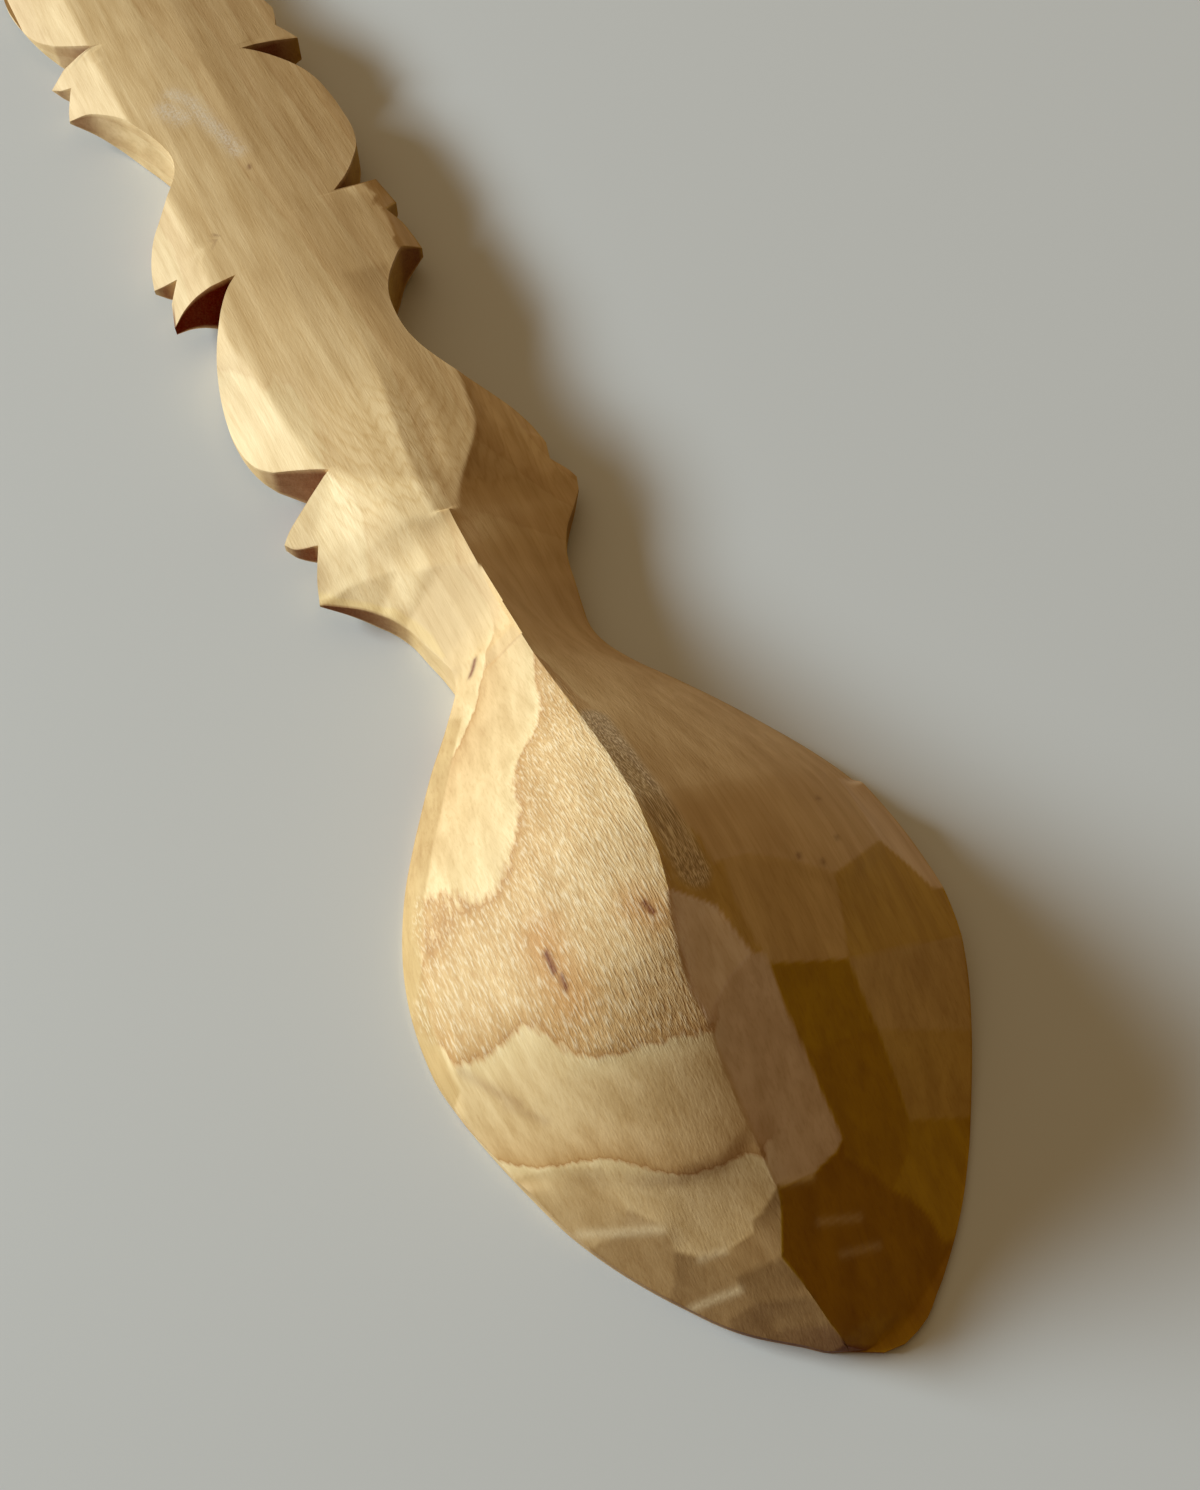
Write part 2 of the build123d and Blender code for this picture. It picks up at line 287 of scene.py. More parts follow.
def keel_at(y):
    """Place of the keel across the spoon: straight from corner to corner of the knife cuts."""
    return np.interp(y, [p[1] for p in keel_xy], [p[0] for p in keel_xy])


def bowl_back(s, t, side):
    """From the keel the height falls to the edge by a mix of the share of the way out, t, and t
    raised to a power, which makes the cheek flatter or fuller. The cut along the left rim takes off
    more, in a straight slope from its own start outwards."""
    low = through(*edge_z[side], s)
    straight = through(*straight_share[side], s)
    fall = straight * t + (1 - straight) * t ** through(*cheek_power[side], s)
    height = low + (through(*keel_z, s) - low) * (1 - fall)
    if side < 0:
        start = through(rim_cut[0], rim_cut[1], s)
        depth = np.where((s > 36) & (s < 66), through(rim_cut[0], rim_cut[2], s), 0)
        height = height - depth * np.clip((t - start) / (1 - start), 0, 1)
    return height


print("keel's highest point in mm", keel_z[1][8], "at", keel_z[0][8])

# %% [markdown]
# The handle's back looks flat, but its light shows what it is: long overlapping strokes of the knife
# on a very low crown, with a bevel cut along each side. Next to the neck three broader cuts carry the
# neck's roof on into the handle. Planes cut each other in clean lines, so each cut is a plane, the
# lowest one counts, and a hair of rounding keeps the lines from looking like a machine's.

# %% Crown of the handle
crown_height = 8.5
crown_fall = 0.0068
stroke_rounding = 0.006
crease_rounding = 0.03
stroke_rise = 0.00008
# Slopes of the roof's cuts: left of its ridge, right of it, and beyond the fold.
left_slope, right_slope, far_slope = 0.12, 0.15, 0.05
stroke_dice = np.random.default_rng(11)
strokes = [(x + stroke_dice.uniform(-1.2, 1.2), y + stroke_dice.uniform(-12, 12),
            stroke_dice.uniform(-0.016, 0.016), stroke_dice.uniform(-0.0016, 0.0016))
           for x in np.arange(-14.4, 22, 4.8) for y in np.arange(96, 300, 38)]
roof_ridge = ([85, 104.6, 108.3, 119.2, 128.8, 141.6, 291], [-1.2, -1.2, -0.9, 0.5, 1.9, 2.2, 2.2])
roof_fold = ([85, 106.6, 111.3, 116.1, 123.4, 131.2, 291], [2.3, 2.5, 3.1, 4.2, 4.5, 3.4, 3.4])
roof_lift = ([85, 102, 104, 112, 122, 132, 291], [0.92, 0.92, 0.86, 0.6, 0.35, 0.1, 0.1])


def soft_min(surfaces, width):
    """Lower envelope with its creases rounded over about the width: minus the width times the
    logarithm of the sum of the exponentials of minus height over width."""
    low = np.minimum.reduce(surfaces)
    return low - width * np.log(sum(np.exp((low - z) / width) for z in surfaces))


def handle_crown(x, y):
    """Each stroke is a plane that touches the crown, a little tilted, and rises with the square of
    the way along from its own middle. Near the neck the crown turns into the roof's three cuts,
    which fall from the ridge by a slope to the left and by two slopes to the right."""
    cuts = [crown_height - crown_fall * cx * cx + (lean - 2 * crown_fall * cx) * (x - cx) + tilt * (y - cy)
            + stroke_rise * (y - cy) ** 2 for cx, cy, lean, tilt in strokes]
    ridge, fold = through(*roof_ridge, y), through(*roof_fold, y)
    right_fall = right_slope * np.minimum(x - ridge, fold - ridge) + far_slope * np.maximum(0, x - fold)
    fall = np.where(x < ridge, left_slope * (ridge - x), right_fall)
    roof = crown_height + through(*roof_lift, y) - fall
    share = 1 - step(116, 142, y)
    return soft_min(cuts, stroke_rounding) * (1 - share) + roof * share


print("knife strokes on the crown", len(strokes))

# %% Bevels and neck
# Half width of the flat and slope of the bevel beyond it, along the spoon, on each side.
flat_half = {
    -1: ([85, 95, 98, 100, 102, 104, 106, 108.7, 112.4, 115, 121.6, 125.7, 137, 141.8, 150, 160, 291],
         [0, 0.1, 0.35, 0.8, 1.6, 2.9, 4.7, 7.0, 9.3, 10.3, 11.2, 11.7, 12.4, 13.2, 12.4, 11.6, 11.4]),
    1: ([85, 96, 99, 101, 103, 105, 107, 109.5, 111.4, 113.6, 115.7, 118.8, 121.9, 126, 130, 145,
         150, 157, 164, 165, 291],
        [0, 0.1, 0.35, 0.8, 1.6, 2.9, 4.5, 6.4, 7.8, 9.1, 9.8, 10.4, 11.0, 11.2, 11.6, 13.4,
         14.2, 15.2, 15.8, 23, 23]),
}
bevel_slope = {
    -1: ([85, 88, 92, 98, 101, 104, 107, 110, 115, 121, 127, 139, 150, 291],
         [0.85, 0.76, 0.61, 0.46, 0.425, 0.43, 0.46, 0.49, 0.5, 0.54, 0.62, 0.66, 0.62, 0.6]),
    1: ([85, 88, 89.5, 93.5, 97, 101, 105, 108, 111.4, 116.8, 130, 145, 291],
        [0.85, 0.80, 0.77, 0.56, 0.46, 0.39, 0.40, 0.46, 0.51, 0.57, 0.6, 1.0, 1.0]),
}
# The left face's fullness in mm: how high, where along the spoon, how long, and how far out it goes.
belly_height, belly_y, belly_length, belly_reach = 0.9, 103, 4, 17
chamfer_low = ([80, 84, 88, 92, 96, 101, 104, 108], [6.4, 4.8, 3.9, 3.3, 2.8, 2.2, 2.2, 4.7])
neck_edge = edges[-1][0][-9:]


def handle_back(x, y, side):
    """The crown, and beyond the flat a bevel in two cuts, the outer one steeper. The bevels' top
    turns from the keel into the crown, so before the flat they meet in the ridge of the neck's roof.
    The roof's left face is a little full: by a bell along the spoon times the way out, t, and the
    square of 1 less t."""
    centre = keel_at(y)
    out = side * (x - centre)
    shoulder = through(*flat_half[side], y)
    crown = handle_crown(x, y) + 0.9 * np.maximum(0, 101.6 - y)
    share = step(97, 107, y)
    top = through(*keel_z, y) * (1 - share) + handle_crown(centre + side * shoulder, y) * share
    slope = through(*bevel_slope[side], y)
    bevel = top - slope * (out - shoulder)
    outer = top + 0.9 - 1.3 * slope * (out - shoulder) + 0.4 * np.maximum(0, 113 - y)
    if side < 0:
        t = np.clip(out / belly_reach, 0, 1)
        bell = np.exp(-((y - belly_y) / belly_length) ** 2)
        fullness = belly_height * bell * 6.75 * t * (1 - t) ** 2
        bevel, outer = bevel + fullness, outer + fullness
    return soft_min([crown, bevel, outer], crease_rounding)


def back_height(x, y, s, t, side):
    """Bowl and handle, mixed along the neck where they give nearly the same. A last cut runs along
    the neck's left edge: its height grows with the distance from the edge."""
    share = step(88, 96, y)
    height = bowl_back(s, t, side) * (1 - share) + handle_back(x, y, side) * share
    if side < 0:
        near = (y > 78) & (y < 110)
        chamfer = through(*chamfer_low, y[near]) + 0.85 * gap_to(x[near], y[near], neck_edge)
        height[near] = soft_min([height[near], np.where(x[near] < 0, chamfer, 99)], crease_rounding)
    return height


middle = back_height(np.zeros(1), np.full(1, 200.0), np.full(1, 200.0), np.zeros(1), 1)
print("height of the handle's middle in mm", np.round(middle, 2))

# %% [markdown]
# The net of the back lies over the keel, row by row, from the left edge to the right edge. The front
# faces the table. It is flat, with the bowl's round hollow, and the teeth are bevelled from below so
# that they end in thin points. The hollow could be cut with a sphere, but as part of the net it keeps
# one clean rim and adds no stray faces.

# %% Net of the back
def halves_of(s, t, centre_x, height_at):
    """Points at share t of the way from the centre line to the edge, on both sides, as rows of x, y,
    z from the left edge to the right edge."""
    halves = []
    for side in (-1, 1):
        start = np.stack([centre_x, s], axis=-1)[:, None, :]
        xy = start + (edge_at(side, s)[:, None, :] - start) * t[side][..., None]
        z = height_at(xy[..., 0], xy[..., 1], s[:, None] + 0 * t[side], t[side], side)
        halves.append(np.concatenate([xy, z[..., None]], axis=-1))
    return np.concatenate([halves[0][:, ::-1], halves[1][:, 1:]], axis=1)


def back_net(s, columns):
    """Back of the spoon, with its columns at even shares of the way from the keel to the edge."""
    even = np.linspace(0, 1, columns + 1)[None, :].repeat(len(s), 0)
    return halves_of(s, {-1: even, 1: even}, keel_at(s), back_height)


print("rows and columns of the bowl's back", back_net(rows[:bowl_rows], 84).shape[:2])

# %% Net of the front
hollow_width = ([5.0, 11.7, 22.42, 33.14, 42.52, 54.58, 64.63, 72.0],
                [0.0, 0.42, 0.77, 0.94, 1.0, 0.88, 0.58, 0.0])
bowl_half, rim_width = 28.0, 3.3
hollow_half = bowl_half - rim_width
hollow_depth = 14.0
hollow_radius = (hollow_half ** 2 + hollow_depth ** 2) / (2 * hollow_depth)
tooth_slope = 2.2 / 6.4
tooth_from, handle_from = 12, 94


def hollow_reach(y):
    """Half width of the hollow at its rim, a fair curve that closes at both ends."""
    closing = (y - hollow_width[0][0]) * (hollow_width[0][-1] - y)
    return np.where(closing > 0, hollow_half * np.maximum(through(*hollow_width, y), 0), 0)


def front_height(x, y, s, t, side):
    """The hollow is an arc of one radius, sunk so that it meets the rim: the root of its reach
    squared, plus the sink squared, less x squared, less the sink. Along the handle a straight slope
    from 12 mm outwards thins the teeth from below."""
    sink = hollow_radius - hollow_depth
    dome = np.sqrt(np.maximum(hollow_reach(y) ** 2 + sink ** 2 - x ** 2, 0)) - sink
    bevel = np.where(y > handle_from, tooth_slope * (abs(x) - tooth_from), 0)
    return np.maximum(np.maximum(dome, 0), bevel)


def front_net(s, columns):
    """Front of the spoon in rows, with one column on the hollow's rim."""
    ramp = np.linspace(0, 1, columns + 1)
    knee = 0.7
    shares = {}
    for side in (-1, 1):
        out = np.abs(edge_at(side, s)[:, 0])
        rim = np.clip(hollow_reach(s) / np.maximum(out, 0.1), 0.2, 0.96)[:, None]
        shares[side] = np.where(ramp < knee, ramp / knee * rim, rim + (ramp - knee) / (1 - knee) * (1 - rim))
    return halves_of(s, shares, keel_at(s) * (1 - step(2, 9, s)), front_height)


print("hollow's depth in mm", hollow_depth, "and half width", hollow_half)

# %% [markdown]
# The bowl's tip was never sanded: flat facets of the knife meet there in crisp lines. They could be
# sculpted by hand or made by decimating a mesh, but then they would not lie where the real ones do.
# So each facet is a ring of corners seen in the photograph. Least squares finds heights for all the
# corners at once, so that each facet comes out as flat as a knife leaves it.

# %% Corners and facets
# Each corner: its name, x and y in mm. Those that begin with k lie on the keel. Corners past the outline only
# close a facet's outer side.
corner_table = """
k3 -2.8 40.9, k4 -4.2 36.6, k5 -5 32.4, k6 -5 27.4, k7 -5 21.2, k8 -4.9 16.9, k9 -4.8 15.6,
k10 -5.1 14.3, k11 -7 10.6, k12 -6.2 8, k13 -5.4 4.1, k14 -4.9 2.7, k15 -4.6 1, r1 2.7 42.2,
r2 6.7 42.4, r3 9.5 41.4, r4 12.7 39.9, r5 14.8 38.6, r6 18.2 39.8, r7 23.2 41.9, r8 24.9 38.6,
r9 26.2 35.7, r10 29 35.2, h1 24 50.8, h2 23.7 46.2, h3 29.5 45.9, h4 29.5 40.6, h5 28.5 52,
a1 0.9 38.3, a2 1.2 36.4, a3 1.7 34.2, a4 2 33.3, d1 3.8 42.3, d2 3.1 39.3, d3 2.9 36.3, d4 2.9 34,
d5 3.1 33, b1 3.1 32.2, b2 3.1 30.7, b3 2.9 27.8, b4 3 24.5, b5 2.9 20.8, b6 3 16.9, b7 2 16.2,
b8 -0.2 15.6, b9 -1.3 15.2, m1 -1.1 32, m2 -3.7 30.3, m3 -4.6 28.9, f1 3.4 32, f2 7.3 31.2,
f3 11.3 30.4, f4 11.2 28.1, f5 11.1 24.1, f6 10.7 19.8, f7 10.6 18.6, f8 10.2 16.1, f9 8.9 13.8,
e1 13.1 34.3, e2 19.1 30.4, e3 30 30, g1 26 20.6, g2 29 26, i1 2.4 15.5, i2 4.4 13.3, i3 5.5 11.4,
i4 4.3 8.2, j2 -2.5 11.4, j3 -1.3 9, j4 -0.9 7.2, j5 -1 5.4, j6 -1.4 3.2, l1 6.7 10.2, l2 7.8 8.4,
l3 8.2 5.6, l4 7.2 1.8, l5 2.2 1.2, m5 -1.6 -1.2, m6 3 -1, n1 20.5 13.6, n2 15.6 8.6, n3 12 5.4,
q1 -23.6 20.2, q2 -18 19.2, q3 -15 17.2, q4 -15 15.6, q5 -15.8 13.9, q6 -14.6 10.7, q7 -13 8.7,
q8 -9.6 6, o1 -18.6 11, o2 -15.6 8.2, o3 -13.6 6.2, o4 -9.4 3.6, o5 -21.8 16, o6 -27.4 29.6,
s1 -15.4 18.2, s2 -17.3 20.5, s3 -17.9 24.5, s5 -12 21, s7 -6.8 14.6, s8 -8 14.3, s9 -8.2 13.6,
t1 -10.9 13.3, t2 -13.5 14.3, x1 -24 28.2, x2 -21 26.6, x3 -15 22.6, x4 -8.6 20.2, t3 -11.2 11.2,
t4 -11.2 10, t5 -10.4 8.6, t6 -5.9 6.7
"""
corner_xy = {name: (float(x), float(y)) for name, x, y in map(str.split, corner_table.split(","))}
# Upper border of the facets on each side, where the rounded back carries on.
borders = {1: "k3 a1 r1 r2 r3 r4 r5 r6 r7 h2 h1 h5", -1: "o6 x1 x2 s3 x3 s5 x4 k7"}
# Corners that stand proud of the rounded back, in mm, and turn their facets to the light.
corner_lift = {"a2": 1.15, "a3": 1.5, "a4": 1.4, "m1": 0.9, "m2": 0.4, "d4": 0.7, "d3": 0.6,
               "d5": 0.8, "b1": 0.6, "b2": 0.4}
# Each facet: its shade and its corners in turn. The shade is painted shade or light for how the window and
# the room light each cut; on the right it also holds the deeper colour of cuts that show more end grain.
facets = {
    1: [
        (1.28, "k3 a1 a2 a3 a4 m1 m2 m3 k5 k4"),
        (1.15, "a4 d5 b1 b2 b3 b4 b5 b6 b7 b8 b9 k9 k8 k7 k6 m3 m2 m1"),
        (0.86, "r1 d1 d2 d3 d4 d5 a4 a3 a2 a1"),
        (0.94, "d1 r2 r3 r4 r5 e1 f3 f2 f1 b1 d5 d4 d3 d2"),
        (0.82, "r5 r6 r7 r8 r9 r10 e3 e2 f3 e1"),
        (0.70, "b1 f1 f2 f3 f4 f5 b4 b3 b2"),
        (0.64, "b4 f5 f6 f7 f8 f9 i3 i2 i1 b6 b5"),
        (0.90, "f3 e2 e3 g2 g1 f5 f4"),
        (0.84, "f5 g1 n1 f8 f7 f6"),
        (0.74, "f8 n1 n2 n3 l3 l2 l1 i3 f9"),
        (1.10, "h1 h2 r7 r8 r9 r10 h4 h3 h5"),
        (0.54, "k9 b9 b8 b7 b6 i1 i2 i3 i4 j3 j2 k10"),
        (0.54, "k10 j2 j3 j4 j5 j6 k14 k13 k12 k11"),
        (0.55, "i3 l1 l2 l3 n3 l4 l5 j6 j5 j4 j3 i4"),
        (0.62, "k14 j6 l5 l4 m6 m5 k15"),
    ],
    -1: [
        (0.58, "q1 q2 q3 q4 q5 o1 o5"),
        (0.79, "o6 x1 x2 s3 s2 s1 q3 q2 q1"),
        (1.00, "s3 x3 s5 x4 k7 k8 k9 s7 s8 s9 t1 t2 q4 q3 s1 s2"),
        (0.48, "k9 k10 k11 s9 s8 s7"),
        (0.50, "t2 t1 s9 k11 t3"),
        (0.42, "t3 k11 k12 t6 t5 t4"),
        (0.50, "q4 t2 t3 t4 q6 o2 o1 q5"),
        (0.48, "q6 t4 t5 q7 o3 o2"),
        (0.45, "q7 t5 t6 k13 q8 o4 o3"),
        (0.55, "q8 k13 k14 k15 o4"),
    ],
}


def ring_of(text):
    """Places of the corners named in the text."""
    return np.array([corner_xy[name] for name in text.split()])


print("facets on the right and the left", len(facets[1]), len(facets[-1]), "corners", len(corner_xy))

# %% Knife facets on the bowl
def corner_shares(x, y, ring):
    """Share of each corner of the ring in the height at a place, as mean value coordinates: the sum
    of the tangents of half the angles under which the place sees the corner's two sides, over the
    distance to it. Along a side only its two ends count, so neighbours meet exactly."""
    to = ring[:, None, :] - np.stack([x, y], axis=-1)[None]
    far = np.maximum(np.sqrt((to ** 2).sum(-1)), 1e-9)
    after, far_after = np.roll(to, -1, axis=0), np.roll(far, -1, axis=0)
    turn = to[..., 0] * after[..., 1] - to[..., 1] * after[..., 0]
    turn = np.where(abs(turn) < 1e-9, 1e-9, turn)
    half_tan = (far * far_after - (to * after).sum(-1)) / turn
    weight = (np.roll(half_tan, 1, axis=0) + half_tan) / far
    return weight / weight.sum(0)


facet_fade = 1.6
# How hard a corner is held: on a border, on the back, and beyond the outline.
held, seen, loose = 20, 0.45, 0.05


def corner_heights(part, side):
    """Heights of the corners and one plane for each facet, found together by least squares: a
    facet's corners lie near its plane, and each corner near the rounded back, those on the keel and
    on the upper border almost exactly."""
    names = sorted({name for _, text in facets[side] for name in text.split()})
    xy = np.array([corner_xy[name] for name in names])
    gap = ((part[None, ..., :2] - xy[:, None, None, :]) ** 2).sum(-1).reshape(len(names), -1)
    height = part.reshape(-1, 3)[gap.argmin(1), 2] + [corner_lift.get(name, 0) for name in names]
    fixed = np.array([name[0] == "k" or name in borders[side].split() for name in names])
    pull = np.where(fixed, held, np.where(gap.min(1) < 0.5, seen, loose))
    unknowns = len(names) + 3 * len(facets[side])
    equations = [np.hstack([np.diag(pull), np.zeros((len(names), 3 * len(facets[side])))])]
    for k, (_, text) in enumerate(facets[side]):
        for name in text.split():
            row = np.zeros((1, unknowns))
            row[0, len(names) + 3 * k:len(names) + 3 * k + 3] = (*corner_xy[name], 1)
            row[0, names.index(name)] = -1
            equations.append(row)
    wanted = np.concatenate([pull * height, np.zeros(len(equations) - 1)])
    solved = np.linalg.lstsq(np.vstack(equations), wanted, rcond=None)[0]
    return dict(zip(names, solved))


def cut_with_knife(points, side):
    """Lays the facets of one cheek on the back, faded in from their upper border."""
    half = slice(None, points.shape[1] // 2 + 1) if side < 0 else slice(points.shape[1] // 2, None)
    part = points[:, half]
    heights = corner_heights(part, side)
    x, y = part[..., 0], part[..., 1]
    border_gap = gap_to(x, y, ring_of(borders[side]))
    for _, text in facets[side]:
        ring = ring_of(text)
        mine = inside(x, y, ring)
        corner = np.array([heights[name] for name in text.split()])
        flat = (corner_shares(x[mine], y[mine], ring) * corner[:, None]).sum(0)
        share = step(0, facet_fade, border_gap[mine])
        part[mine, 2] = part[mine, 2] * (1 - share) + flat * share
    points[:, half] = part


middle_shares = corner_shares(np.array([2.0]), np.array([2.0]), square)[:, 0]
print("shares of a square's corners at its middle", middle_shares)

# %% [markdown]
# Back, front and edge now become one closed skin. The edge is a wall in four strips, because colour
# that follows the surface needs points on the wall itself. The hanging hole at the end is a Boolean
# cut, the one shape here that a drill really made.

# %% One closed skin from the nets
def grid_faces(index):
    """Four cornered faces between neighbouring rows and columns of a table of vertex numbers."""
    return np.stack([index[:-1, :-1], index[:-1, 1:], index[1:, 1:], index[1:, :-1]], axis=-1).reshape(-1, 4)


def halving_faces(fine, coarse):
    """Five cornered faces where a row with twice the columns meets the next row."""
    return np.stack([fine[:-2:2], fine[1:-1:2], fine[2::2], coarse[1:], coarse[:-1]], axis=-1)


def skin(name, back_columns, front_columns):
    """Back, front and side walls as one mesh. Rows of the bowl have twice the handle's columns."""
    bowl = back_net(rows[:bowl_rows], back_columns)
    cut_with_knife(bowl, -1)
    cut_with_knife(bowl, 1)
    bowl[..., 2] = np.maximum(bowl[..., 2], 0.5)
    bowl[0, :, 2] = keel_z[1][0]
    nets = [bowl, back_net(rows[bowl_rows:], back_columns // 2),
            front_net(rows[:bowl_rows], front_columns), front_net(rows[bowl_rows:], front_columns // 2)]
    points = np.concatenate([net.reshape(-1, 3) for net in nets])
    starts = np.cumsum([0] + [net[..., 0].size for net in nets])
    back, far_back, front, far_front = [np.arange(a, b).reshape(net.shape[:2])
                                        for a, b, net in zip(starts, starts[1:], nets)]
    fours = [grid_faces(index) for index in (back, far_back, front[:, ::-1], far_front[:, ::-1])]
    fives = [halving_faces(back[-1], far_back[0]), halving_faces(front[-1], far_front[0])[:, ::-1]]
    for column in (0, -1):
        low = np.concatenate([front[:, column], far_front[:, column]])
        top = np.concatenate([back[:, column], far_back[:, column]])
        share = np.array([0.12, 0.5, 0.88])[None, :, None]
        strip = points[low][:, None] * (1 - share) + points[top][:, None] * share
        index = len(points) + np.arange(strip[..., 0].size).reshape(strip.shape[:2])
        points = np.concatenate([points, strip.reshape(-1, 3)])
        fours.append(grid_faces(np.column_stack([low, index, top])))
    points = points * MM + (0, TIP_Y, 0)
    mesh = bpy.data.meshes.new(name)
    mesh.from_pydata(points.tolist(), [], np.concatenate(fours).tolist() + np.concatenate(fives).tolist())
    work = bmesh.new()
    work.from_mesh(mesh)
    bmesh.ops.remove_doubles(work, verts=work.verts, dist=1e-7)
    bmesh.ops.recalc_face_normals(work, faces=work.faces)
    work.to_mesh(mesh)
    work.free()
    return mesh


spoon_blank = skin("spoon_blank", 84, 16)
print("faces of the blank", len(spoon_blank.polygons))

# %% Hanging hole
hole_radius = 2.0


def placed(name, data):
    """New object with the data, linked to the scene."""
    thing = bpy.data.objects.new(name, data)
    bpy.context.scene.collection.objects.link(thing)
    return thing


def drilled(mesh, name):
    """The mesh with a round hole through the middle of the handle's end: a 48 sided prism cut away."""
    turn = np.linspace(0, 2 * math.pi, 49)[:-1]
    ring = np.stack([hole_radius * np.cos(turn), end_middle + hole_radius * np.sin(turn), 0 * turn], axis=1)
    points = np.concatenate([ring + (0, 0, -2), ring + (0, 0, 12)]) * MM + (0, TIP_Y, 0)
    i = np.arange(48)
    sides = np.stack([i, (i + 1) % 48, (i + 1) % 48 + 48, i + 48], axis=1).tolist()
    drill_mesh = bpy.data.meshes.new("drill")
    drill_mesh.from_pydata(points.tolist(), [], sides + [i[::-1].tolist(), (i + 48).tolist()])
    drill = placed("drill", drill_mesh)
    blank = placed("blank", mesh)
    cut = blank.modifiers.new("hole", "BOOLEAN")
    cut.operation, cut.object, cut.solver = "DIFFERENCE", drill, "EXACT"
    done = bpy.data.meshes.new_from_object(blank.evaluated_get(bpy.context.evaluated_depsgraph_get()))
    done.name = name
    for thing in (drill, blank):
        bpy.data.objects.remove(thing)
    return done


def open_edges(mesh):
    """Number of edges that don't have exactly two faces: none on a closed skin."""
    work = bmesh.new()
    work.from_mesh(mesh)
    count = sum(len(edge.link_faces) != 2 for edge in work.edges)
    work.free()
    return count


crease_angle = 32
spoon_mesh = drilled(spoon_blank, "carved_love_spoon")
spoon_mesh.polygons.foreach_set("use_smooth", np.ones(len(spoon_mesh.polygons), bool))
spoon_mesh.set_sharp_from_angle(angle=math.radians(crease_angle))
spoon = placed("carved_love_spoon", spoon_mesh)
triangles = sum(len(face.vertices) - 2 for face in spoon_mesh.polygons)
print("triangles", triangles, "open edges", open_edges(spoon_mesh))

# %% [markdown]
# What the eye reads as wood is where the tree's growth rings meet the carved surface: broad bands
# round the bowl, long lines down the handle. An image of wood would stick to the surface like paper.
# So each point gets the number of the growth ring that it lies in, worked out from its place in the
# board, and the bends that the real rings show are laid on through marks taken from the photograph.

# %% Where each point lies
place = np.empty(len(spoon_mesh.vertices) * 3, np.float32)
spoon_mesh.vertices.foreach_get("co", place)
X, Y, Z = ((place.reshape(-1, 3).astype(float) - (0, TIP_Y, 0)) / MM).T
facing = np.empty(len(spoon_mesh.vertices) * 3, np.float32)
spoon_mesh.vertices.foreach_get("normal", facing)
NX, NY, NZ = facing.reshape(-1, 3).astype(float).T
on_back = step(0.15, 0.35, NZ)
above = step(-0.5, -0.1, NZ) * step(0.1, 0.5, Z)
wall = 1 - step(0.3, 0.6, abs(NZ))
from_keel = X - keel_at(Y)
in_bowl = 1 - step(92, 106, Y)
print("points", len(X), "on the back", int(on_back.sum()), "on the walls", int(wall.sum()))

# %% Growth rings
# Places on ring lines of the photograph, as (x, y) in mm, under the ring's number there.
ring_marks = {
    5.3: [(-1.4, 73.2), (-2.8, 68.7), (-4.4, 65.6), (-7.4, 63.2), (-9.4, 60.8), (-11.2, 55.9), (-13.4, 52.6),
          (-15.6, 50.8), (-17.5, 51.6), (-19.8, 53.0), (-21.2, 52.6), (-22.9, 52.1), (-24.5, 50.9),
          (-25.6, 40.1), (-24.0, 38.6), (-22.0, 38.5), (-20.2, 38.7), (-18.4, 37.5), (-16.9, 35.4),
          (-16.0, 33.5), (-14.7, 32.0), (-12.8, 31.1), (-9.2, 29.9), (-5.3, 28.6)],
    1.2: [(-25.3, 30.4), (-22.6, 27.9), (-19.6, 26.0), (-17.7, 25.0), (-14.7, 22.6), (-11.7, 20.3),
          (-8.1, 19.3), (-4.4, 18.9)],
}
ring_width = 4.1
first_line = 5.3
mean_wander = 0.25


def growth_ring(x, y, z):
    """Number that is the same all over one growth line and changes by a ring's width from one ring to
    the next. Over the bowl it is the height plus a bowl shaped sheet. Along the handle the sheet runs
    on level and leans to one side, so that the lines run lengthwise. Slow waves make it uneven."""
    near = np.minimum(y, 66)
    along = 0.0059 * near ** 2 - 0.559 * near + 3.0 * (1 - np.exp(-(y - near) / 14)) + 0.006 * (y - near)
    lean = 0.513 - 0.0088 * near + 0.5 * step(84, 112, y)
    waves = 0.14 * np.sin(0.21 * x + 0.11 * y + 1.3) + 0.12 * np.sin(0.37 * x - 0.17 * y + 0.4)
    waves = waves + step(80, 120, y) * (0.9 * np.sin(0.031 * y + 0.6) + 0.35 * np.sin(0.083 * y - 0.1 * x))
    return z + lean * x + 0.0262 * x ** 2 + along + waves


def bend_to_marks(rings, spread_mm=2.6):
    """Bends the rings so that they pass the marks: the sum of round hills, one on each mark, with
    heights found by least squares from what the rings miss at the marks, a little damped."""
    marks = np.array([(x, y, number) for number, places in ring_marks.items() for x, y in places])
    back = np.nonzero((NZ > 0.2) & (Z > 0.4) & (Y < 90))[0]
    nearest = back[((marks[:, None, 0] - X[back]) ** 2 + (marks[:, None, 1] - Y[back]) ** 2).argmin(1)]
    miss = marks[:, 2] - rings[nearest]
    apart = (marks[:, None, 0] - marks[:, 0]) ** 2 + (marks[:, None, 1] - marks[:, 1]) ** 2
    hills = np.exp(-apart / (2 * spread_mm ** 2))
    heights = np.linalg.solve(hills.T @ hills + 0.05 * np.eye(len(marks)), hills.T @ miss)
    bent = rings.copy()
    for (x, y, _), height in zip(marks, heights):
        bent += height * np.exp(-((X - x) ** 2 + (Y - y) ** 2) / (2 * spread_mm ** 2))
    print("rings missed the marks by up to", round(float(abs(miss).max()), 2), "and now by",
          round(float(abs(marks[:, 2] - bent[nearest]).max()), 2))
    return bent


ring = bend_to_marks(growth_ring(X, Y, Z))
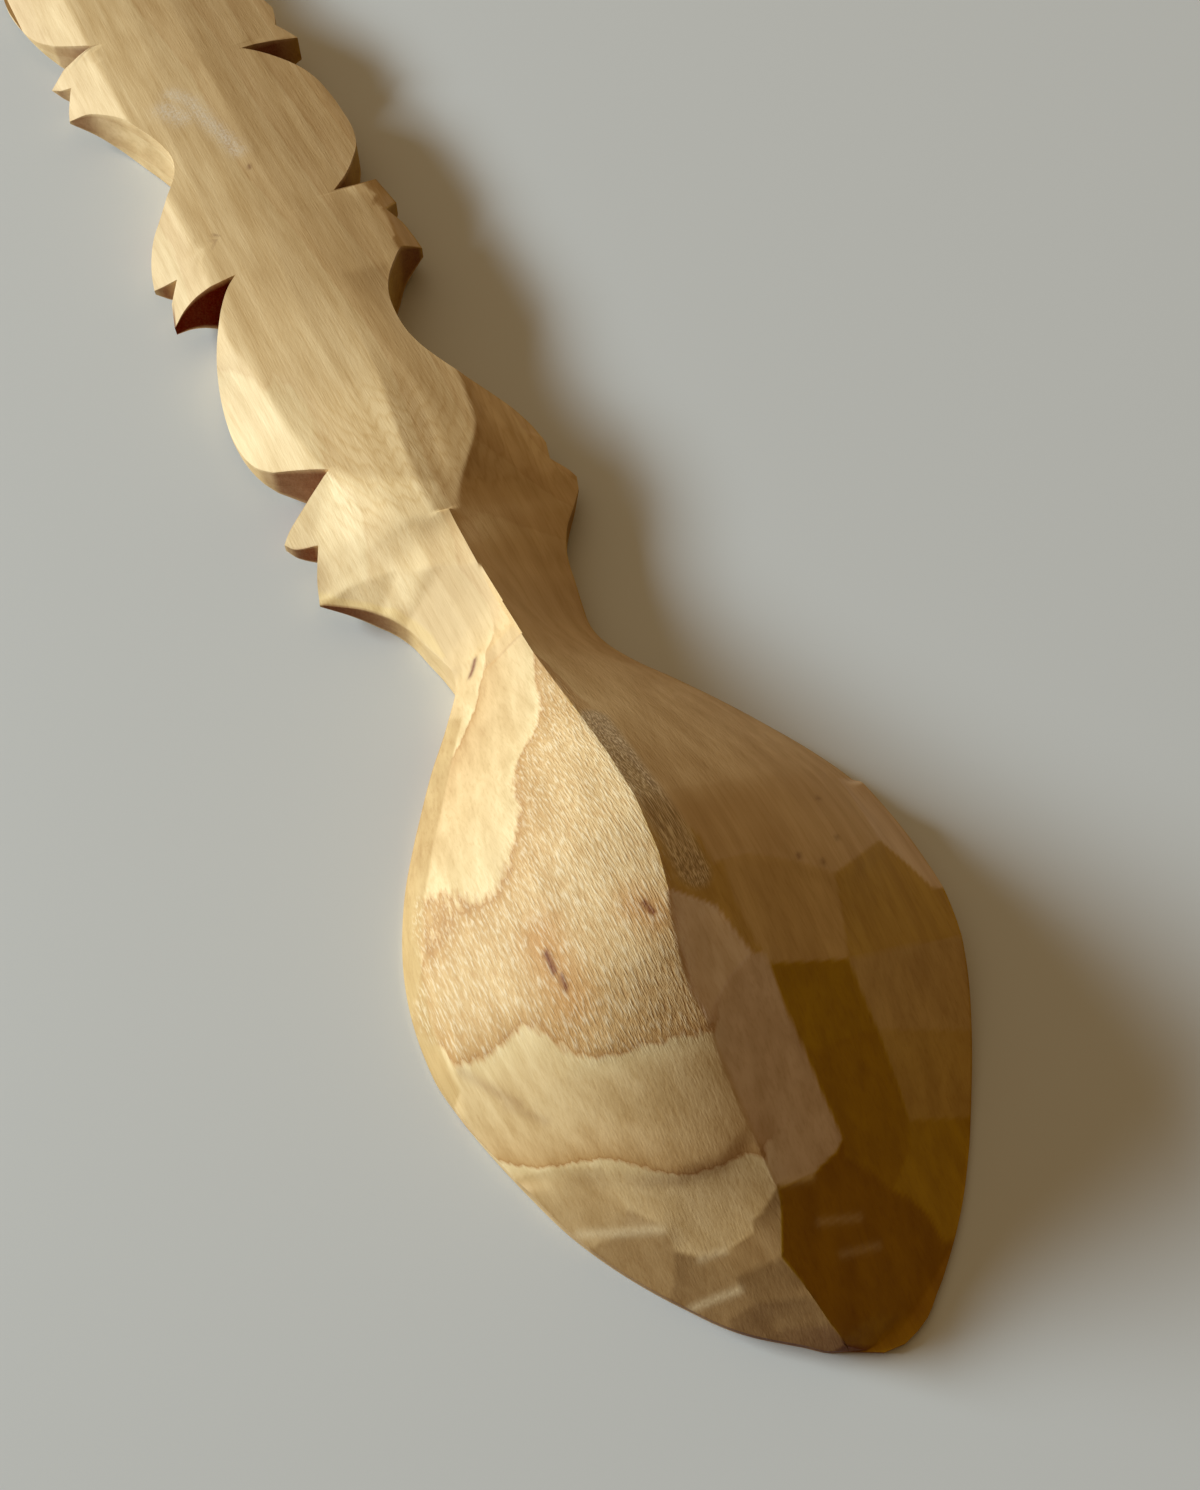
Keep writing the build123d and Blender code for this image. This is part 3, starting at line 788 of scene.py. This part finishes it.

# %% [markdown]
# Each facet gets a shade of its own: painted shade and light that stand in for how the window and the room
# light each cut, and on the right also the deeper colour of cuts that show more end grain. The left rim, a
# strip by the keel, the neck and the handle's strokes get painted shade and light too. These shades could be
# painted by hand. As rings with a number each, they stay crisp at the facets' edges and can be matched to the
# photograph.

# %% Painted shade and light of each cut
torn_strip = [(-0.8, 66), (-1.0, 56), (-1.1, 50.8), (-1.9, 44.5), (-2.8, 40.9), (0.9, 38.3), (2.7, 42.2),
              (2.9, 45.0), (2.0, 47.5), (1.2, 51.0), (0.9, 55.0), (0.3, 58.0), (-0.4, 61.0)]
rim_strip = [(-9.6, 75.0), (-12.6, 70.9), (-17.4, 64.0), (-21.7, 57.3), (-24.5, 51.7), (-26.0, 45.9),
             (-26.4, 40.6), (-26.2, 38.0), (-30.0, 36.0), (-30.0, 50.0), (-22.0, 66.0), (-12.0, 80.0)]
# The roof of the neck: the deep cut on its left face, which gets painted light, the chamfer along the left
# edge, which gets a warmer tint and painted light, and its right face, which the window hardly reaches and
# which gets painted shade.
roof_left = [(1.0, 106.0), (-6.0, 110.8), (-9.7, 114.5), (-14.4, 108.5), (-15.2, 103.0), (-17.6, 101.0),
             (-15.0, 98.2), (-11.0, 94.5), (-8.0, 93.5), (-4.5, 96.0), (-3.5, 101.0), (-1.0, 101.0)]
neck_cut = [(-17.6, 100.4), (-14.7, 98.3), (-11.5, 95.1), (-9.6, 91.7), (-8.6, 87.9), (-7.9, 84.7),
            (-7.5, 85.0), (-7.6, 88.4), (-8.4, 91.4), (-9.7, 94.4), (-12.4, 97.4), (-15.4, 100.2),
            (-17.2, 102.6)]
roof_right = [(2.6, 104.5), (3.6, 108.5), (4.8, 114), (5.2, 121), (4.6, 128), (4.0, 136), (4.4, 147),
              (11, 147), (8.6, 138), (9.2, 129), (11.8, 122), (11.4, 117), (8.6, 111), (5.0, 106)]
# Painted shade on the right walls, which face away from the window, and painted light on the handle just
# beyond the neck.
right_wall_shade, painted_light_past_neck = 0.2, 0.18
# Painted light and shade across the handle's strokes, which each take the light a little differently.
stroke_shade = ([-17, -12, -6, -1, 4, 9, 13, 17], [1.08, 1.12, 1.09, 1.03, 0.98, 0.92, 1.06, 1.10])


def patch_shade(patches, soft):
    """Shade over the spoon from patches given as (shade, ring): each patch's own inside it and 1
    outside all of them, mixed over a border of plus and minus soft by the share in each."""
    total, weight = np.zeros(X.shape), np.zeros(X.shape)
    for shade_of, ring_places in patches:
        ring_places = np.array(ring_places)
        low, high = ring_places.min(0) - 2 * soft, ring_places.max(0) + 2 * soft
        near = (X > low[0]) & (X < high[0]) & (Y > low[1]) & (Y < high[1])
        share = ring_share(X[near], Y[near], ring_places, soft)
        total[near] += share * shade_of
        weight[near] += share
    covered = np.minimum(weight, 1)
    return covered * total / np.maximum(weight, 1e-9) + 1 - covered


right_patches = [(shade_of, ring_of(text)) for shade_of, text in facets[1]]
right_patches += [(0.86, torn_strip), (0.955, neck_cut), (0.965, rim_strip)]
left_patches = [(shade_of, ring_of(text)) for shade_of, text in facets[-1]]
left_patches += [(0.82, rim_strip), (1.1, neck_cut)]
facet_soft, roof_soft = 0.18, 1.2
# Painted shade and light in honey over the right cheek's facets, where end grain also deepens the colour,
# painted shade over the strip by the keel and the right walls, and a warmer tint on the chamfer and the left
# rim strip.
painted_honey_shading = 1 + (patch_shade(right_patches, facet_soft) - 1) * above
painted_honey_shading = painted_honey_shading * (1 - right_wall_shade * wall * step(0.2, 0.6, NX) * step(0.5, 3, X))
# Painted shade over the left cheek's facets and the left rim strip, and painted light and shade over the
# chamfer, the handle's strokes, the neck's roof and the handle just beyond the neck.
painted_tan_shading = 1 + (patch_shade(left_patches, facet_soft) - 1) * above
painted_tan_shading = painted_tan_shading * (1 + (np.interp(X, *stroke_shade) - 1) * step(103, 108, Y) * on_back)
painted_tan_shading = painted_tan_shading * (1 + (patch_shade([(1.32, roof_left), (0.8, roof_right)], roof_soft) - 1) * on_back)
painted_tan_shading = painted_tan_shading * (1 + painted_light_past_neck * on_back * step(105, 112, Y) * (1 - step(134, 150, Y)))
print("tones from", round(painted_honey_shading.min(), 2), "to", round(painted_honey_shading.max(), 2))

# %% [markdown]
# Small marks say that a hand made this: two short cracks, pale lines where the knife paused, torn fibres
# by the keel, a scuff on the handle. A mark is a line of places with a width. Its strength is a bell across
# the line, which stays smooth however the mesh runs under it. The same kind of line lays painted shade deep
# in the handle's nicks.

# %% Marks of the knife and of use
# Each mark: its strength, its half width in mm, and its places.
cracks = [(1.1, 0.30, [(-14.6, 42.3), (-14.7, 40.2)]), (1.0, 0.26, [(-14.4, 39.5), (-14.5, 38.2)]),
          (1.1, 0.30, [(-5.3, 40.9), (-5.0, 39.6)]),
          (0.30, 0.40, [(-25.6, 39.4), (-23.6, 35.6), (-22.0, 32.9)]),
          (0.22, 0.34, [(-23.2, 33.9), (-20.5, 30.3)]),
          (1.0, 0.3, [(-6.6, 79.4), (-6.0, 79.9), (-5.4, 80.7)]),
          (0.8, 0.3, [(-8.6, 161.9), (-8.3, 162.6)]), (0.7, 0.3, [(0.7, 173.9), (0.9, 174.7)]),
          (0.7, 0.3, [(11.9, 41.0), (12.0, 41.2)]), (0.6, 0.3, [(14.2, 39.9), (14.3, 40.1)]),
          (0.5, 0.3, [(18.6, 47.5), (18.8, 47.6)]), (0.5, 0.3, [(17.6, 42.4), (17.8, 42.5)])]
glows = [(1.0, 2.2, [(-14.3, 44.2), (-14.5, 40.5), (-14.4, 36.5)]),
         (1.0, 1.8, [(-6.0, 41.2), (-4.9, 39.4)])]
pauses = [(0.8, 0.34, [(-4.3, 15.8), (-1.4, 15.2)]), (0.5, 0.34, [(-2.5, 11.7), (1.3, 10.6)]),
          (0.45, 0.34, [(-1.8, 8.6), (1.9, 7.9)]),
          (0.8, 0.36, [(-21.8, 21.3), (-18.6, 19.4), (-15.1, 17.5)]),
          (0.6, 0.34, [(-13.3, 14.0), (-11.1, 13.5)]),
          (0.7, 0.34, [(-15.6, 11.1), (-13.5, 10.7), (-11.3, 10.2)])]
scuffs = [(1.0, 1.3, [(-3.8, 196.2), (-1.9, 193.0), (-1.3, 187.7), (-0.2, 183.1), (0.5, 178.6)]),
          (1.0, 1.8, [(-5.9, 193.2), (-4.2, 190.0)])]
# Painted shade in the nicks: each line runs along a nick's wall that faces the bowl's tip, where the end
# grain is also darker.
shaded_nick_walls = [(1.0, 3.5, [(-8.4, 153.8), (-18.4, 153.1)]), (0.45, 3.0, [(-9.7, 115.0), (-18.1, 110.3)]),
              (0.7, 3.0, [(-11.1, 215.0), (-19.1, 215.2)]), (0.7, 3.0, [(-9.8, 259.2), (-18.4, 258.8)]),
              (0.6, 3.0, [(-17.4, 100.5), (-10.0, 92.5)]), (0.6, 3.0, [(10.0, 164.8), (16.7, 166.0)])]


def mark_depth(marks):
    """How strongly the marks show: a mark's strength times the exponential of minus the square of
    the distance in half widths, the strongest counting where two meet."""
    return np.maximum.reduce([power * np.exp(-(gap_to(X, Y, places) / half) ** 2)
                              for power, half, places in marks])


crack, glow, pause, scuff = [mark_depth(marks) * on_back for marks in (cracks, glows, pauses, scuffs)]
# Painted shade on the nicks' walls that face the bowl's tip.
notch_shade = mark_depth(shaded_nick_walls) * wall * step(0.1, 0.6, -NY)
print("marks", len(cracks) + len(glows) + len(pauses) + len(scuffs))

# %% Where the figure, the torn fibres and the end grain show
end_grain = step(0.3, 0.95, abs(NY)) * (1 - step(0.5, 0.85, NZ)) * step(-0.5, -0.1, NZ)
in_band = step(4.9, 5.6, ring) * (1 - step(9.0, 10.4, ring))
torn = on_back * in_band * step(20, 27, Y) * (1 - step(68, 78, Y)) * (1 - step(-0.5, 1.5, from_keel))
frayed_gap = gap_to(X, Y, [(0.2, 62), (0.2, 52), (0.6, 46), (0.4, 42)])
frayed = on_back * step(-0.6, 0.2, from_keel) * (1 - step(1.2, 2.2, frayed_gap))
figure = (1 - 0.72 * step(74, 86, Y)) * (1 - step(-0.5, 3, from_keel) * (1 - step(84, 100, Y)))
figure = figure * (1 - in_bowl * (1 - step(-1.0, 0.4, ring))) * (1 - in_bowl * step(8.0, 8.8, ring))
figure = figure * (1 - 0.9 * ring_share(X, Y, np.array(rim_strip), 0.3))
# Near the neck the rings lie flat in the handle and show as long ovals round its middle.
oval_middle, oval_squeeze, oval_gap = (1.5, 138.0), (0.8, 0.30), 0.85
oval = np.hypot((X - oval_middle[0]) * oval_squeeze[0], (Y - oval_middle[1]) * oval_squeeze[1])
oval_share = on_back * step(103.0, 105.0, Y) * (1 - step(118, 134, Y)) * step(2, 4, oval) * step(-13, -9, X)
layers = {"ring": ring, "painted_honey_shading": painted_honey_shading, "painted_tan_shading": painted_tan_shading, "figure": figure, "end_grain": end_grain, "torn": torn,
          "frayed": frayed, "crack": crack, "glow": glow, "pause": pause, "scuff": scuff, "notch_shade": notch_shade,
          "oval": oval, "oval_share": oval_share}
for label, values in layers.items():
    spoon_mesh.attributes.new(label, "FLOAT", "POINT").data.foreach_set("value", values.astype(np.float32))
    print(label, round(float(values.min()), 2), round(float(values.max()), 2))

# %% [markdown]
# The wood is lime, the carvers' wood: pale cream, even, soft enough for a knife. It was cut and left
# bare, with no oil or varnish, so it is matt and shows its growth lines, its short pores and every
# fibre that the knife tore. The patterns read the wood's own place in millimetres, so they run
# through the piece as in a real board. One small function adds each node.

# %% Adding a node
def linear(hex_colour):
    """Linear red, green, blue and alpha of an sRGB hex colour: over 12.92 in the dark, and else 0.055
    more, over 1.055, to the power of 2.4."""
    srgb = np.array([int(hex_colour[i:i + 2], 16) for i in (1, 3, 5)]) / 255
    value = np.where(srgb <= 0.04045, srgb / 12.92, ((srgb + 0.055) / 1.055) ** 2.4)
    return (*value.tolist(), 1.0)


def add(tree, kind, inputs=None, stops=None, output=0, **settings):
    """Adds a node, sets its own settings, fills each named input with a value or links it to an
    output, gives a colour ramp its stops, each as (place, colour), and returns the output asked for."""
    made = tree.nodes.new("ShaderNode" + kind)
    for key, value in settings.items():
        setattr(made, key, value)
    for key, value in (inputs or {}).items():
        if isinstance(value, bpy.types.NodeSocket):
            tree.links.new(value, made.inputs[key])
        else:
            made.inputs[key].default_value = value
    while stops and len(made.color_ramp.elements) < len(stops):
        made.color_ramp.elements.new(0.5)
    for k, (at, colour) in enumerate(stops or []):
        made.color_ramp.elements[k].position = at
        made.color_ramp.elements[k].color = linear(colour) if isinstance(colour, str) else (*colour, 1)
    return made.outputs[output]


# Settings of a Mix node that mixes two colours or multiplies them.
mixed = {"data_type": "RGBA", "output": 2}
multiplied = {**mixed, "blend_type": "MULTIPLY"}
print("cream of lime in linear light", np.round(linear("#dcbc8b"), 3).tolist())

# %% Grain patterns
# Waves per mm across, along and through the board, then detail and roughness. Lime's vessels are
# 0.05 mm wide and 0.5 mm long, too fine for the picture, so pores and fibres are drawn 0.3 mm wide.
grain = {
    "wander": ((1.6, 0.30, 1.6), 3, 0.5),
    "fibre": ((3.2, 0.13, 2.0), 4, 0.6),
    "mottle": ((0.42, 0.10, 0.42), 3, 0.5),
    "streak": ((0.55, 0.028, 0.55), 2, 0.5),
    "pores": ((3.2, 2.2, 3.2), 3, 0.6),
    "dashes": ((6.0, 0.75, 2.0), 2, 0.5),
    "threads": ((9.0, 0.5, 9.0), 2, 0.5),
}


def grain_patterns(tree):
    """Noise for each grain pattern, over the wood's own place in millimetres, stretched along the
    board."""
    metres = add(tree, "TexCoord", output="Object")
    made = {}
    for name, (waves, detail, rough) in grain.items():
        per_metre = tuple(wave / MM for wave in waves)
        stretched = add(tree, "Mapping", {"Vector": metres, "Scale": per_metre})
        made[name] = add(tree, "TexNoise", {"Vector": stretched, "Scale": 1.0, "Detail": detail,
                                            "Roughness": rough})
    return made


print("grain patterns", ", ".join(grain))

# %% Growth lines and streaks
# One ring from its dark winter line through early wood to pale late wood.
ring_stops = [(0.0, "#b98c57"), (0.03, "#c79e68"), (0.10, "#d0aa76"), (0.20, "#d6b27f"), (0.45, "#dab987"),
              (0.80, "#ddbe8d"), (0.97, "#e4c999"), (1.0, "#cba270")]
oval_stops = [(0.0, (0.91, 0.87, 0.80)), (0.35, (1, 1, 1)), (0.8, (1, 1, 1)), (1.0, (0.91, 0.87, 0.80))]
streak_stops = {
    "fibre": [(0.30, (0.90, 0.86, 0.79)), (0.52, (1, 1, 1))],
    "mottle": [(0.36, (0.93, 0.90, 0.85)), (0.62, (1.03, 1.03, 1.03))],
    "streak": [(0.35, (0.88, 0.84, 0.77)), (0.6, (1, 1, 1))],
}


def figured_wood(tree, at, pattern):
    """Colour by the place within the growth ring: the ring number, a little ragged, over the ring's
    width, less its whole part. Where the figure is faint, plain cream shows. Three soft streaks of
    different lengths are multiplied on."""
    ragged = add(tree, "Math", {0: pattern["wander"], 1: 0.5, 2: at["ring"]}, operation="MULTIPLY_ADD")
    turns = add(tree, "Math", {0: ragged, 1: 1 / ring_width,
                               2: -(first_line + mean_wander) / ring_width}, operation="MULTIPLY_ADD")
    within = add(tree, "Math", {0: turns}, operation="FRACT")
    lines = add(tree, "ValToRGB", {"Fac": within}, stops=ring_stops)
    colour = add(tree, "Mix", {0: at["figure"], 6: linear("#dcbc8b"), 7: lines}, **mixed)
    for name, stops in streak_stops.items():
        tint = add(tree, "ValToRGB", {"Fac": pattern[name]}, stops=stops)
        colour = add(tree, "Mix", {0: 1.0, 6: colour, 7: tint}, **multiplied)
    uneven = add(tree, "Math", {0: pattern["streak"], 1: 3.0, 2: at["oval"]}, operation="MULTIPLY_ADD")
    round_turns = add(tree, "Math", {0: uneven, 1: 1 / oval_gap}, operation="MULTIPLY")
    round_within = add(tree, "Math", {0: round_turns}, operation="FRACT")
    ovals = add(tree, "ValToRGB", {"Fac": round_within}, stops=oval_stops)
    return add(tree, "Mix", {0: at["oval_share"], 6: colour, 7: ovals}, **multiplied)


print("stops in one growth ring", len(ring_stops))

# %% [markdown]
# Where the knife crosses the fibres, their open ends drink the light: end grain is deeper and redder
# than long grain. On top of it each cut has painted shade or light. A plain darkening would turn grey, so
# green and blue fall faster than red, by a power of the shade. The right cheek, away from the window, gets
# the deepest painted shade, in honey.

# %% End grain and painted shade of the cuts
end_grain_keeps = (0.40, 0.15, 0.045)


def cut_wood(tree, at, pattern, colour):
    """Multiplies the colour by the end grain's brown, speckled by pores, then by the painted shade of the
    right side's cuts, as red t, green t to the power of 1.6, blue the share of t above 0.72, and by the
    painted light and shade of the left side's cuts, the neck and the handle, as s with the powers 1, 1.25 and
    1.6."""
    speckle = add(tree, "MapRange", {"Value": pattern["pores"], "To Min": 0.6, "To Max": 1.2})
    speckle = add(tree, "Math", {0: at["end_grain"], 1: speckle}, operation="MULTIPLY", use_clamp=True)
    colour = add(tree, "Mix", {0: speckle, 6: colour, 7: (*end_grain_keeps, 1)}, **multiplied)
    green = add(tree, "Math", {0: at["painted_honey_shading"], 1: 1.6}, operation="POWER")
    blue = add(tree, "MapRange", {"Value": at["painted_honey_shading"], "From Min": 0.72, "From Max": 1.252,
                                  "To Min": 0.0, "To Max": 1.9})
    blue = add(tree, "Math", {0: blue, 1: 1.3}, operation="POWER")
    honey_shade_tint = add(tree, "CombineColor", {0: at["painted_honey_shading"], 1: green, 2: blue})
    powers = [add(tree, "Math", {0: at["painted_tan_shading"], 1: power}, operation="POWER") for power in (1.25, 1.6)]
    tan_shade_tint = add(tree, "CombineColor", {0: at["painted_tan_shading"], 1: powers[0], 2: powers[1]})
    for tint in (honey_shade_tint, tan_shade_tint):
        colour = add(tree, "Mix", {0: 1.0, 6: colour, 7: tint}, **multiplied)
    return colour


print("end grain keeps of red, green and blue", end_grain_keeps)

# %% Marks, and the nicks' painted shade, in the wood's colour
# Layer, pattern that breaks it up, the pattern's range, the share over that range, and its colour.
mark_colours = [
    # Painted shade deep in the nicks, over the end grain's own darker red.
    ("notch_shade", "pores", (0.3, 0.7), (0.85, 1.0), "#560b00"),
    ("glow", "pores", (0.3, 0.7), (0.65, 0.85), "#b9803f"),
    ("torn", "dashes", (0.50, 0.68), (0.0, 0.45), "#f4e2c2"),
    ("torn", "dashes", (0.47, 0.34), (0.0, 0.42), "#bb8a52"),
    ("crack", "pores", (0.2, 0.8), (0.7, 1.0), "#6a2a08"),
    ("pause", "pores", (0.3, 0.7), (0.35, 0.6), "#f2dab0"),
    ("scuff", "pores", (0.35, 0.65), (0.1, 0.65), "#e9dccb"),
]
thread_stops = [(0.40, (0.30, 0.21, 0.13)), (0.52, (0.62, 0.46, 0.28)), (0.64, (1.0, 0.86, 0.62))]


def marked_wood(tree, at, pattern, colour):
    """Mixes in each mark by its layer's strength times its pattern's share. The frayed strip by the
    keel is all threads, light and dark side by side."""
    threads = add(tree, "ValToRGB", {"Fac": pattern["threads"]}, stops=thread_stops)
    half_frayed = add(tree, "Math", {0: at["frayed"], 1: 0.7}, operation="MULTIPLY")
    colour = add(tree, "Mix", {0: half_frayed, 6: colour, 7: threads}, **mixed)
    for layer, name, limits, shares, hue in mark_colours:
        share = add(tree, "MapRange", {"Value": pattern[name], "From Min": limits[0],
                                       "From Max": limits[1], "To Min": shares[0], "To Max": shares[1]})
        share = add(tree, "Math", {0: at[layer], 1: share}, operation="MULTIPLY", use_clamp=True)
        colour = add(tree, "Mix", {0: share, 6: colour, 7: linear(hue)}, **mixed)
    return colour


print("kinds of mark", len(mark_colours) + 1)

# %% Bare lime wood
def bare_lime_wood():
    """Lime cut with a knife and left bare: a matt, creamy surface with a soft grain, on which only
    torn fibres stand up."""
    wood = bpy.data.materials.new("bare_lime_wood")
    wood.use_nodes = True
    tree = wood.node_tree
    shader = tree.nodes["Principled BSDF"]
    at = {label: add(tree, "Attribute", attribute_name=label, output="Fac") for label in layers}
    pattern = grain_patterns(tree)
    colour = cut_wood(tree, at, pattern, figured_wood(tree, at, pattern))
    tree.links.new(marked_wood(tree, at, pattern, colour), shader.inputs["Base Color"])
    # Bare wood: IOR 1.5 as cellulose, rough, hardly any gloss, and none where the nicks' walls get painted
    # shade.
    shader.inputs["Roughness"].default_value = 0.62
    shader.inputs["IOR"].default_value = 1.5
    gloss = add(tree, "Math", {0: at["notch_shade"], 1: -0.25, 2: 0.25}, operation="MULTIPLY_ADD")
    tree.links.new(gloss, shader.inputs["Specular IOR Level"])
    # Torn fibres stand up to 0.3 mm, whole ones under 0.1 mm.
    raised = add(tree, "Math", {0: at["torn"], 1: 0.85, 2: 0.15}, operation="MULTIPLY_ADD")
    height = add(tree, "Math", {0: pattern["dashes"], 1: raised}, operation="MULTIPLY")
    relief = add(tree, "Bump", {"Height": height, "Distance": 0.3 * MM, "Strength": 0.5})
    fine = add(tree, "Bump", {"Height": pattern["fibre"], "Distance": 0.08 * MM, "Strength": 0.4,
                              "Normal": relief})
    tree.links.new(fine, shader.inputs["Normal"])
    print("nodes in", wood.name, len(tree.nodes))
    return wood


spoon_mesh.materials.clear()
spoon_mesh.materials.append(bare_lime_wood())

# %% The spoon takes the solid's place
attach(spoon, "root")
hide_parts("carved_spoon")
print(spoon.name, "replaces carved_spoon")

# %% [markdown]
# The camera stands where the photographer held theirs: low over the bowl's tip, looking up along the
# handle. Its place and angles were found by fitting the outline, which is why they aren't round.

# %% Camera
camera_place = (-0.03272, -0.151385, 0.135527)
heading, look_down, roll = np.radians((-26.1789, 58.2429, 0.5453))
ahead = np.array([-math.sin(heading) * math.cos(look_down), math.cos(heading) * math.cos(look_down),
                  -math.sin(look_down)])
level = np.array([math.cos(heading), math.sin(heading), 0.0])
below = np.cross(ahead, level)
right = math.cos(roll) * level + math.sin(roll) * below
down = math.cos(roll) * below - math.sin(roll) * level
lens = bpy.data.cameras.new("camera")
film_mm, focal_pixels, frame_pixels = 36.0, 1400, 1490
lens.sensor_width = film_mm
lens.lens = film_mm * focal_pixels / frame_pixels
lens.clip_start = 0.005
camera = placed("camera", lens)
axes = np.column_stack([right, -down, -ahead, camera_place])
camera.matrix_world = Matrix([*axes.tolist(), (0, 0, 0, 1)])
bpy.context.scene.camera = camera
print("camera stands", round(camera_place[2] * 1000), "mm above the table")

# %% [markdown]
# The spoon lies on a pale, matt table top by a window. A plane is enough for it, wide enough to fill
# every view, with the soft grey of paint. It lies 0.1 mm below the spoon, since two surfaces in the
# same place would flicker.

# %% Table
table_mesh = bpy.data.meshes.new("table")
table_z = -0.1 * MM
table_corners = [(x, y, table_z) for x, y in ((-3, -3), (3, -3), (3, 3), (-3, 3))]
table_mesh.from_pydata(table_corners, [], [(0, 1, 2, 3)])
table = placed("table", table_mesh)
paint = bpy.data.materials.new("pale_matt_paint")
paint.use_nodes = True
paint.node_tree.nodes["Principled BSDF"].inputs["Base Color"].default_value = linear("#d8dbdf")
paint.node_tree.nodes["Principled BSDF"].inputs["Roughness"].default_value = 0.5
table_mesh.materials.append(paint)
print("table", table_mesh.materials[0].name)

# %% [markdown]
# The light is a window to the left, low and a little behind, and it is what draws the facets: the
# left cheek is bright, the right one lives on what the room sends back. The window's height and width
# were found from how soft and how long the shadow is. A sun lamp would make the shadow hard, so an
# area lamp stands far off. The room is a world that is warm and dark towards the camera and bright
# beyond the handle, where its light comes from.

# %% Window
window_distance = 5.0
window_size = (2.8, 0.7)
window_watts = 405
window_height = math.radians(17.6)
towards = np.array([-0.765, 0.644]) / math.hypot(0.765, 0.644) * math.cos(window_height)
to_window = np.array([*towards, math.sin(window_height)])
pane = bpy.data.lights.new("window", "AREA")
pane.shape = "RECTANGLE"
pane.size, pane.size_y = window_size
pane.energy = window_watts
pane.color = (0.83, 0.965, 1.0)
window = placed("window", pane)
window.location = to_window * window_distance + (0.01, -0.08, 0.0)
window.rotation_mode = "QUATERNION"
window.rotation_quaternion = Vector(-to_window).to_track_quat("-Z", "Y")
print("window at", np.round(window.location, 2).tolist(), "m")

# %% Light of the room
room_stops = [(0.0, (0.10, 0.035, 0.006)), (0.45, (0.30, 0.15, 0.04)), (0.8, (0.77, 0.52, 0.22)),
              (1.0, (1.45, 1.10, 0.66))]
room = bpy.data.worlds.new("room")
room.use_nodes = True
bpy.context.scene.world = room
tree = room.node_tree
way = add(tree, "TexCoord", output="Generated")
beyond = add(tree, "VectorMath", {0: way, 1: (0.0, 0.8, 0.6)}, operation="DOT_PRODUCT", output="Value")
share = add(tree, "Math", {0: beyond, 1: 0.5, 2: 0.5}, operation="MULTIPLY_ADD")
glow_of_room = add(tree, "ValToRGB", {"Fac": share}, stops=room_stops)
tree.links.new(glow_of_room, tree.nodes["Background"].inputs["Color"])
tree.nodes["Background"].inputs["Strength"].default_value = 0.325
bpy.context.scene.view_settings.view_transform = "Standard"
print("colours in the room's light", len(room_stops))
